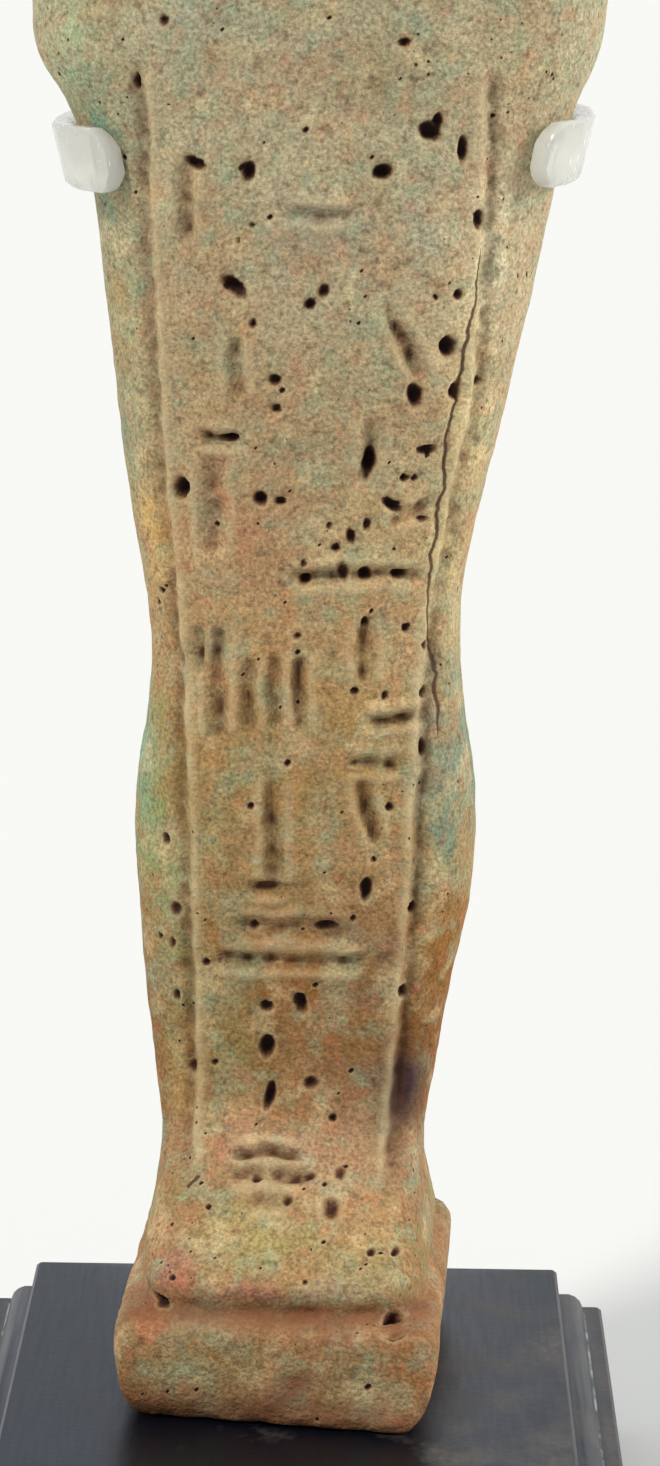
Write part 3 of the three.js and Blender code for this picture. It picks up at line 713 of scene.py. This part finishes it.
# The washes of colour: [x, z, half width, half height, colour, strength].
WASHES = [
    [-19, 124, 4, 6, "#abb692", 0.65],
    [-6, 126, 6, 4, "#aab8a8", 0.5],
    [2, 121, 7, 4, "#b99a80", 0.5],
    [9, 122, 4, 3, "#8f7f55", 0.55],
    [13, 125, 6, 5, "#a7a68f", 0.5],
    [18, 123, 4, 6, "#bf9f7e", 0.45],
    [-16.5, 114, 2.6, 6, "#76927c", 0.8],
    [-15.5, 103, 2.4, 7, "#8fa085", 0.6],
    [-15.4, 99, 1.2, 5, "#b28b4f", 0.6],
    [-14.6, 88, 2.2, 7, "#80967b", 0.6],
    [-8, 106, 5, 8, "#a98f70", 0.5],
    [3, 107, 5, 7, "#989b8b", 0.55],
    [12, 109, 4, 6, "#a3a48e", 0.5],
    # This row and the narrow pale rows at x 15.4 and 13.6 below are painted highlight down the
    # right of the panel.
    [17, 106, 2.5, 10, "#e0d2b0", 0.75],
    [-7, 96, 4, 4, "#b0906a", 0.45],
    [-2, 90, 5, 5, "#a58d6d", 0.4],
    [9, 95, 5, 6, "#a89f82", 0.4],
    [15.4, 92, 2, 9, "#d9c79a", 0.75],
    [-4, 82, 6, 5, "#ad8468", 0.6],
    [4, 86, 4, 4, "#a39878", 0.5],
    [-9, 77, 4, 3, "#b18062", 0.5],
    [-12.4, 80, 1.8, 6, "#cfae78", 0.7],
    [8, 80, 4, 4, "#b59c72", 0.45],
    [-9, 70, 3, 5, "#a98a60", 0.4],
    [13.6, 75, 1.6, 8, "#d0be8f", 0.7],
    [12.6, 65, 2.4, 4, "#b0a074", 0.4],
    [14.2, 59, 3.6, 8, "#73836f", 0.9],
    [-12.8, 56, 2.5, 9, "#858f5c", 0.75],
    [-14.2, 59, 1.2, 6, "#7fa189", 0.6],
    [0, 61, 6, 5, "#917a50", 0.4],
    [-6, 51, 4, 6, "#877750", 0.5],
    [5, 52, 5, 6, "#8a7450", 0.4],
    [-11.3, 45, 2, 5, "#899770", 0.5],
    [4, 45, 6, 4, "#8d664a", 0.5],
    [8.5, 39, 3, 4, "#745b49", 0.6],
    [-9.8, 35, 2, 7, "#8b8c5c", 0.55],
    [-5, 33, 3, 5, "#877e50", 0.5],
    [3, 31, 4, 4, "#865c41", 0.5],
    [-9.8, 27, 1.3, 5, "#bb9a68", 0.55],
    [6, 27, 3, 4, "#765447", 0.5],
    [-5, 23, 4, 3, "#ae806a", 0.5],
    [3, 22, 5, 3, "#b08e78", 0.5],
    [-2, 16, 8, 3, "#9f9563", 0.6],
    [8, 17, 3, 4, "#a8865f", 0.4],
    [-9, 14, 3, 2.6, "#a37060", 0.65],
    [-4, 12.4, 5, 1.2, "#98624f", 0.65],
    [4, 12.8, 6, 1.2, "#a37c67", 0.5],
    [-6, 5.6, 6, 3, "#938058", 0.6],
    [8, 4.6, 4, 3, "#8c835f", 0.6],
    [12, 6, 2.5, 4, "#a36e4a", 0.55],
    [-11.6, 9, 2, 1.4, "#b8795a", 0.7],
    [4, 8.8, 8, 0.8, "#9d6a54", 0.5],
]
WASH_GROUND = "#a0906c"
wash_colour = np.tile(np.array(linear(WASH_GROUND)[:3]), (len(own), 1))
wash_cover = np.zeros(len(own))
for middle_x, middle_z, half_width, half_height, colour, strength in WASHES:
    across, up = (own_x - middle_x) / half_width, (own_z - middle_z) / half_height
    spread = 0.8 * (across**2 + up**2) + 0.7 * waver + 0.5 * fine_waver
    cover = np.clip(1.35 * strength * np.exp(-np.clip(spread, 0, 9)), 0, 0.95)
    wash_colour += (np.array(linear(colour)[:3]) - wash_colour) * cover[:, None]
    wash_cover = 1 - (1 - wash_cover) * (1 - cover)

moved = points + normals * (move * MM)[:, None]
ushabti.data.vertices.foreach_set("co", moved.ravel())
stored = {
    "pit": pit,
    "hollow_dirt_and_shade": hollow_dirt_and_shade,
    "ridge": ridge_highlight,
    "crack": crack,
    "toe_shade_and_red_brown": toe_shade_and_red_brown,
    "violet": violet,
}
for name, values in stored.items():
    attribute = ushabti.data.attributes.new(name, "FLOAT", "POINT")
    attribute.data.foreach_set("value", values.astype(np.float32))
wash = ushabti.data.attributes.new("wash", "FLOAT_COLOR", "POINT")
wash.data.foreach_set("color", np.column_stack([wash_colour, wash_cover]).ravel())
ushabti.data.update()
only(ushabti)
bpy.ops.object.shade_smooth()
triangles = sum(len(p.vertices) - 2 for p in ushabti.data.polygons)
print("figurine triangles:", triangles)

# %% [markdown]
# Weathered faience. Real Egyptian faience is a crushed quartz paste with a thin alkaline glaze,
# coloured blue-green by copper. On this one nearly all the glaze has gone dull and brown, with a
# turquoise ghost on the left side and a bluish one on the right calf. That gives the eye a matt,
# sandy stone: no shine, fine grain, blotches of pink, ochre and grey-green, and black pits.
# The main colour follows the height, because the ground stained the legs more than the chest.
# Real sizes set the patterns: blotches of 1 to 6 mm, specks of 0.36 mm, pores of about 0.2 mm.

# %% Weathered faience
faience, tree, shader = new_material("weathered_faience")
place = add(tree, "ShaderNodeTexCoord").outputs["Object"]
height = add(tree, "ShaderNodeSeparateXYZ", {"Vector": place})

# The main colour by height above the table: [mm, colour].
HEIGHT_COLOURS = [
    (19, "#845c3e"),
    (25, "#8f6b4b"),
    (29, "#855e3b"),
    (33, "#867044"),
    (40, "#8d6f52"),
    (46, "#886039"),
    (53, "#80552b"),
    (62, "#885e2e"),
    (70, "#a38358"),
    (78, "#9d7b4c"),
    (86, "#aa8b62"),
    (98, "#b39672"),
    (112, "#b09b7b"),
    (130, "#bdb092"),
    (148, "#b1aa8d"),
    (219, "#b0a788"),
]
# The ramp wanders up and down by noise that averages half of WANDER.
WANDER, WANDER_SIZE = 12, 14
TOP_Z = HEIGHT_COLOURS[-1][0] + WANDER / 2
wander = add(
    tree,
    "ShaderNodeTexNoise",
    {"Vector": place, "Scale": 1 / (WANDER_SIZE * MM), "Detail": 3.0},
)
level = add(
    tree,
    "ShaderNodeMath",
    {0: wander.outputs["Fac"], 1: WANDER * MM, 2: height.outputs["Z"]},
    operation="MULTIPLY_ADD",
)
share = add(
    tree,
    "ShaderNodeMapRange",
    {
        "Value": level.outputs[0],
        "From Min": WANDER / 2 * MM,
        "From Max": (TOP_Z + WANDER / 2) * MM,
    },
)
base = add(tree, "ShaderNodeValToRGB", {"Fac": share.outputs[0]})
base.color_ramp.elements.remove(base.color_ramp.elements[0])
for millimetres, colour in HEIGHT_COLOURS:
    stop = base.color_ramp.elements.new(millimetres / TOP_Z)
    stop.color = linear(colour)
base.color_ramp.elements.remove(base.color_ramp.elements[-1])
layer = base.outputs["Color"]

# The washes painted on the points lie over that.
washes = add(tree, "ShaderNodeAttribute", attribute_name="wash")
layer = add(
    tree,
    "ShaderNodeMix",
    {0: washes.outputs["Alpha"], 6: layer, 7: washes.outputs["Color"]},
    data_type="RGBA",
).outputs[2]

# Blotches of other stains: [size in mm, from, to, strength, colour].
BLOTCHES = [
    (6, 0.5, 0.66, 0.42, "#a98565"),
    (5, 0.5, 0.66, 0.42, "#9a9f80"),
    (3.5, 0.54, 0.7, 0.45, "#d2be94"),
    (2.4, 0.52, 0.68, 0.36, "#86a084"),
    (1.8, 0.52, 0.68, 0.3, "#b5765a"),
    (0.9, 0.55, 0.7, 0.48, "#563f28"),
]
for turn, (size, start, end, strength, colour) in enumerate(BLOTCHES):
    moved_place = add(
        tree, "ShaderNodeVectorMath", {0: place, 1: (0.07 * turn, 0.03, -0.05 * turn)}
    )
    blotch = add(
        tree,
        "ShaderNodeTexNoise",
        {"Vector": moved_place.outputs[0], "Scale": 1 / (size * MM), "Detail": 4.0},
    )
    amount = add(
        tree,
        "ShaderNodeMapRange",
        {"Value": blotch.outputs["Fac"], "From Min": start, "From Max": end, "To Max": strength},
    )
    layer = add(
        tree,
        "ShaderNodeMix",
        {0: amount.outputs[0], 6: layer, 7: linear(colour)},
        data_type="RGBA",
    ).outputs[2]

# Specks as fine as the quartz grains, drawn at 0.36 mm so that they show.
SPECK = 0.36 * MM
DARKEST_SPECK, PALEST_SPECK = 0.55, 1.5
speck = add(
    tree,
    "ShaderNodeTexNoise",
    {"Vector": place, "Scale": 1 / SPECK, "Detail": 3.0, "Roughness": 0.7},
)
shade = add(
    tree,
    "ShaderNodeMapRange",
    {
        "Value": speck.outputs["Fac"],
        "From Min": 0.3,
        "From Max": 0.7,
        "To Min": DARKEST_SPECK,
        "To Max": PALEST_SPECK,
    },
)
layer = add(
    tree,
    "ShaderNodeMix",
    {0: 1.0, 6: layer, 7: shade.outputs[0]},
    data_type="RGBA",
    blend_type="MULTIPLY",
).outputs[2]
SATURATION = 1.1
layer = add(
    tree, "ShaderNodeHueSaturation", {"Saturation": SATURATION, "Color": layer}
).outputs[0]

# The colours that have their own place: a red-brown painted shade in the toe groove with a
# darker red-brown along the lower edge, the violet patch, a painted highlight on the raised
# ridges and the gouges' rims, and dark brown in the carving that stands for settled dirt and
# painted shade.
# Each has a colour and a strength.
STAINS_AND_PAINTED_LIGHT = {
    "toe_shade_and_red_brown": ("#7d4f33", 0.85),
    "violet": ("#3a272b", 0.92),
    "ridge": ("#d2bd92", 0.5),
    "hollow_dirt_and_shade": ("#54331a", 0.9),
}
for name, (colour, strength) in STAINS_AND_PAINTED_LIGHT.items():
    mask = add(tree, "ShaderNodeAttribute", attribute_name=name)
    amount = add(
        tree, "ShaderNodeMath", {0: mask.outputs["Fac"], 1: strength}, operation="MULTIPLY"
    )
    amount.use_clamp = True
    layer = add(
        tree,
        "ShaderNodeMix",
        {0: amount.outputs[0], 6: layer, 7: linear(colour)},
        data_type="RGBA",
    ).outputs[2]

# Pores: tiny dots where a grain fell out, in loose clusters, painted dark as the shade in them.
PORE_CELL = 0.9 * MM
PORE_CLUSTER = 6 * MM
WIDEST_PORE = 0.2  # as a share of its cell
PORELESS_CELLS = 0.55
pores = add(tree, "ShaderNodeTexVoronoi", {"Vector": place, "Scale": 1 / PORE_CELL})
cluster = add(
    tree, "ShaderNodeTexNoise", {"Vector": place, "Scale": 1 / PORE_CLUSTER, "Detail": 2.0}
)
pore_size = add(
    tree,
    "ShaderNodeMapRange",
    {"Value": cluster.outputs["Fac"], "From Min": 0.45, "From Max": 0.75, "To Max": WIDEST_PORE},
)
luck = add(tree, "ShaderNodeSeparateColor", {"Color": pores.outputs["Color"]})
lucky = add(
    tree, "ShaderNodeMath", {0: luck.outputs[0], 1: PORELESS_CELLS}, operation="GREATER_THAN"
)
wanted = add(
    tree, "ShaderNodeMath", {0: pore_size.outputs[0], 1: lucky.outputs[0]}, operation="MULTIPLY"
)
pore = add(
    tree,
    "ShaderNodeMath",
    {0: wanted.outputs[0], 1: pores.outputs["Distance"]},
    operation="GREATER_THAN",
)
layer = add(
    tree,
    "ShaderNodeMix",
    {0: pore.outputs[0], 6: layer, 7: linear("#4a3426")},
    data_type="RGBA",
).outputs[2]

# A pit: a pale rim where the paste is bare, and a hole painted dark as its shade, with a ragged
# edge. The ramp's rows are [share, how much of the colour shows, colour], and 0.5 is the pit's
# edge.
RAGGED = 0.5
pit_mask = add(tree, "ShaderNodeAttribute", attribute_name="pit")
ragged = add(
    tree,
    "ShaderNodeMath",
    {0: speck.outputs["Fac"], 1: RAGGED, 2: -RAGGED / 2},
    operation="MULTIPLY_ADD",
)
inside = add(
    tree, "ShaderNodeMath", {0: pit_mask.outputs["Fac"], 1: ragged.outputs[0]}, operation="ADD"
)
PIT_RAMP = [
    (0.22, 0.0, "#c2ad84"),
    (0.42, 0.3, "#c2ad84"),
    (0.49, 0.55, "#84603f"),
    (0.56, 0.9, "#55311c"),
    (0.64, 1.0, "#34190e"),
    (0.8, 1.0, "#1d0b06"),
]
pit_share = add(
    tree, "ShaderNodeMapRange", {"Value": inside.outputs[0], "From Min": -1.0, "From Max": 1.0}
)
pit_colour = add(tree, "ShaderNodeValToRGB", {"Fac": pit_share.outputs[0]})
pit_amount = add(tree, "ShaderNodeValToRGB", {"Fac": pit_share.outputs[0]})
for ramp in (pit_colour.color_ramp, pit_amount.color_ramp):
    while len(ramp.elements) > 1:
        ramp.elements.remove(ramp.elements[-1])
for index, (stop_at, amount, colour) in enumerate(PIT_RAMP):
    for ramp, value in (
        (pit_colour.color_ramp, linear(colour)),
        (pit_amount.color_ramp, (amount, amount, amount, 1)),
    ):
        stop = ramp.elements[0] if index == 0 else ramp.elements.new(stop_at)
        stop.position = stop_at
        stop.color = value
layer = add(
    tree,
    "ShaderNodeMix",
    {0: pit_amount.outputs["Color"], 6: layer, 7: pit_colour.outputs["Color"]},
    data_type="RGBA",
).outputs[2]

# The crack: a dark line 0.18 mm wide, fading over as much again.
CRACK_HALF_WIDTH = 0.09
CRACK_DARK = 0.9
crack_mask = add(tree, "ShaderNodeAttribute", attribute_name="crack")
off_crack = add(tree, "ShaderNodeMath", {0: crack_mask.outputs["Fac"]}, operation="ABSOLUTE")
line = add(
    tree,
    "ShaderNodeMapRange",
    {
        "Value": off_crack.outputs[0],
        "From Min": CRACK_HALF_WIDTH,
        "From Max": 2 * CRACK_HALF_WIDTH,
        "To Min": CRACK_DARK,
        "To Max": 0.0,
    },
)
layer = add(
    tree,
    "ShaderNodeMix",
    {0: line.outputs[0], 6: layer, 7: linear("#4b2c1c")},
    data_type="RGBA",
).outputs[2]
tree.links.new(layer, shader.inputs["Base Color"])

# The bump: sandy grain, and dents of a millimetre or two.
GRAIN, DENTS = 0.35 * MM, 1.8 * MM
DENTS_OVER_GRAIN = 2.2
BUMP_HEIGHT = 0.16 * MM
grain = add(tree, "ShaderNodeTexNoise", {"Vector": place, "Scale": 1 / GRAIN, "Detail": 4.0})
dents = add(tree, "ShaderNodeTexNoise", {"Vector": place, "Scale": 1 / DENTS, "Detail": 3.0})
relief = add(
    tree,
    "ShaderNodeMath",
    {0: dents.outputs["Fac"], 1: DENTS_OVER_GRAIN, 2: grain.outputs["Fac"]},
    operation="MULTIPLY_ADD",
)
pitted = add(
    tree,
    "ShaderNodeMath",
    {0: pore.outputs[0], 1: -0.8, 2: relief.outputs[0]},
    operation="MULTIPLY_ADD",
)
bump = add(
    tree,
    "ShaderNodeBump",
    {"Height": pitted.outputs[0], "Distance": BUMP_HEIGHT, "Strength": 1.0},
)
tree.links.new(bump.outputs[0], shader.inputs["Normal"])
shader.inputs["Roughness"].default_value = 0.82
shader.inputs["IOR"].default_value = 1.5
shader.inputs["Specular IOR Level"].default_value = 0.35
ushabti.data.materials.append(faience)
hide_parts("ushabti")
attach(ushabti, "root")
print("faience nodes:", len(tree.nodes))

# %% [markdown]
# The cradle is clear acrylic: a flat post behind the figurine, let into a notch in the plinth,
# and a band round the hips that opens in front in two rounded prongs. The real one is cut from
# sheet and bent warm, with its edges flame-polished round. It could be bent from a strip, but
# the solid already has the bend, so a copy gets its flat faces joined, a small round on every
# edge and smooth shading round the bend.

# %% The acrylic cradle
SHARP_EDGE = math.radians(50)
FLAME_POLISH = 0.32 * MM
BEND_SMOOTH = math.radians(40)

cradle = copy_of("acrylic_cradle", "clear_acrylic_cradle")
join_flat_faces(cradle)
apply_modifier(
    cradle,
    "BEVEL",
    width=FLAME_POLISH,
    segments=3,
    limit_method="ANGLE",
    angle_limit=SHARP_EDGE,
)
only(cradle)
bpy.ops.object.shade_smooth_by_angle(angle=BEND_SMOOTH)
print("cradle faces:", len(cradle.data.polygons))

# %% [markdown]
# Clear acrylic (PMMA) bends light with an IOR of 1.49. New, it passes nearly all of it. Handled
# and polished for years, it has a milky haze and fine scratches, which give the prongs their
# frosty look against the figurine, so here it passes a little over half.

# %% Clear acrylic
acrylic, tree, shader = new_material("clear_acrylic")
place = add(tree, "ShaderNodeTexCoord").outputs["Object"]
SCRATCH = 0.5 * MM
CLEAREST, HAZIEST = 0.04, 0.3
stretched = add(
    tree,
    "ShaderNodeMapping",
    {"Vector": place, "Rotation": (0.3, 0.5, 0.2), "Scale": (1.0, 1.0, 0.12)},
)
scratches = add(
    tree,
    "ShaderNodeTexNoise",
    {"Vector": stretched.outputs[0], "Scale": 1 / SCRATCH, "Detail": 4.0},
)
haze = add(
    tree,
    "ShaderNodeMapRange",
    {
        "Value": scratches.outputs["Fac"],
        "From Min": 0.35,
        "From Max": 0.7,
        "To Min": CLEAREST,
        "To Max": HAZIEST,
    },
)
tree.links.new(haze.outputs[0], shader.inputs["Roughness"])
scratch_bump = add(
    tree, "ShaderNodeBump", {"Height": scratches.outputs["Fac"], "Distance": 0.02 * MM}
)
tree.links.new(scratch_bump.outputs[0], shader.inputs["Normal"])
shader.inputs["Base Color"].default_value = linear("#fdfdf6")
shader.inputs["Transmission Weight"].default_value = 0.6
shader.inputs["IOR"].default_value = 1.49
cradle.data.materials.append(acrylic)
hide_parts("acrylic_cradle")
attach(cradle, "root")
print("acrylic nodes:", len(tree.nodes))

# %% [markdown]
# The plinth is a small turned-edge block of wood, sanded, filled and sprayed with black satin
# lacquer. A copy of the solid gets its flat faces joined and a small bevel along its edges. The
# bevel's own faces take a second material, a painted highlight of pale grey patches on dark
# grey.

# %% The plinth
SANDED_EDGE = 0.3 * MM
MOULDING_SMOOTH = math.radians(35)

plinth = copy_of("display_plinth", "black_lacquer_plinth")
join_flat_faces(plinth)

lacquer, tree, shader = new_material("black_satin_lacquer")
wear_and_edge_highlight, edge_highlight_tree, edge_highlight_shader = new_material("lacquer_edge_highlight")
plinth.data.materials.append(lacquer)
plinth.data.materials.append(wear_and_edge_highlight)
apply_modifier(
    plinth,
    "BEVEL",
    width=SANDED_EDGE,
    segments=2,
    limit_method="ANGLE",
    angle_limit=SHARP_EDGE,
    material=1,
)
only(plinth)
bpy.ops.object.shade_smooth_by_angle(angle=MOULDING_SMOOTH)
print("plinth faces:", len(plinth.data.polygons))

# %% [markdown]
# Black satin lacquer. It reflects the pale room as a soft grey sheen at a low angle, and looks
# near black straight on. Dust lies in patches, more on the slab's right side, and the top has
# hairline scratches from what stood on it before.

# %% Black lacquer
BLACK, DUST, EDGE_GREY, EDGE_HIGHLIGHT = "#080b12", "#8d8478", "#24262a", "#8f9090"
DUST_PATCH, POWDER, HAIRLINE, EDGE_PATCH = 9 * MM, 0.6 * MM, 0.5 * MM, 2.5 * MM
DUST_FROM_X, DUST_TO_X, MORE_DUST = 4 * MM, 24 * MM, 0.22
MOST_DUST = 0.5
SATIN, SCUFFED = 0.33, 0.39
place = add(tree, "ShaderNodeTexCoord").outputs["Object"]
parts = add(tree, "ShaderNodeSeparateXYZ", {"Vector": place})
patches = add(
    tree,
    "ShaderNodeTexNoise",
    {"Vector": place, "Scale": 1 / DUST_PATCH, "Detail": 6.0, "Roughness": 0.65},
)
dust_side = add(
    tree,
    "ShaderNodeMapRange",
    {
        "Value": parts.outputs["X"],
        "From Min": DUST_FROM_X,
        "From Max": DUST_TO_X,
        "To Max": MORE_DUST,
    },
)
dust_value = add(
    tree,
    "ShaderNodeMath",
    {0: patches.outputs["Fac"], 1: dust_side.outputs[0]},
    operation="ADD",
)
dust = add(
    tree,
    "ShaderNodeMapRange",
    {"Value": dust_value.outputs[0], "From Min": 0.6, "From Max": 0.82, "To Max": MOST_DUST},
)
powder = add(tree, "ShaderNodeTexNoise", {"Vector": place, "Scale": 1 / POWDER, "Detail": 3.0})
dusty = add(
    tree,
    "ShaderNodeMath",
    {0: dust.outputs[0], 1: powder.outputs["Fac"]},
    operation="MULTIPLY",
)
lacquer_colour = add(
    tree,
    "ShaderNodeMix",
    {0: dusty.outputs[0], 6: linear(BLACK), 7: linear(DUST)},
    data_type="RGBA",
)
tree.links.new(lacquer_colour.outputs[2], shader.inputs["Base Color"])
streaks = add(
    tree,
    "ShaderNodeMapping",
    {"Vector": place, "Rotation": (0.0, 0.0, 0.6), "Scale": (1.0, 0.07, 1.0)},
)
hairlines = add(
    tree,
    "ShaderNodeTexNoise",
    {"Vector": streaks.outputs[0], "Scale": 1 / HAIRLINE, "Detail": 3.0},
)
satin = add(
    tree,
    "ShaderNodeMapRange",
    {
        "Value": hairlines.outputs["Fac"],
        "From Min": 0.35,
        "From Max": 0.7,
        "To Min": SATIN,
        "To Max": SCUFFED,
    },
)
satin_dust = add(
    tree,
    "ShaderNodeMath",
    {0: dusty.outputs[0], 1: 0.6, 2: satin.outputs[0]},
    operation="MULTIPLY_ADD",
)
tree.links.new(satin_dust.outputs[0], shader.inputs["Roughness"])
lacquer_bump = add(
    tree, "ShaderNodeBump", {"Height": powder.outputs["Fac"], "Distance": 0.015 * MM}
)
tree.links.new(lacquer_bump.outputs[0], shader.inputs["Normal"])
shader.inputs["IOR"].default_value = 1.43
shader.inputs["Specular Tint"].default_value = linear("#b4cbf2")

# The bevelled edges: dark grey with pale grey patches, a painted highlight along the edges.
edge_place = add(edge_highlight_tree, "ShaderNodeTexCoord").outputs["Object"]
edge_patches = add(
    edge_highlight_tree,
    "ShaderNodeTexNoise",
    {"Vector": edge_place, "Scale": 1 / EDGE_PATCH, "Detail": 4.0},
)
edge_patch_share = add(
    edge_highlight_tree,
    "ShaderNodeMapRange",
    {"Value": edge_patches.outputs["Fac"], "From Min": 0.42, "From Max": 0.62},
)
edge_highlight_colour = add(
    edge_highlight_tree,
    "ShaderNodeMix",
    {0: edge_patch_share.outputs[0], 6: linear(EDGE_GREY), 7: linear(EDGE_HIGHLIGHT)},
    data_type="RGBA",
)
edge_highlight_tree.links.new(edge_highlight_colour.outputs[2], edge_highlight_shader.inputs["Base Color"])
edge_highlight_shader.inputs["Roughness"].default_value = 0.4
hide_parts("display_plinth")
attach(plinth, "root")
print("lacquer nodes:", len(tree.nodes))
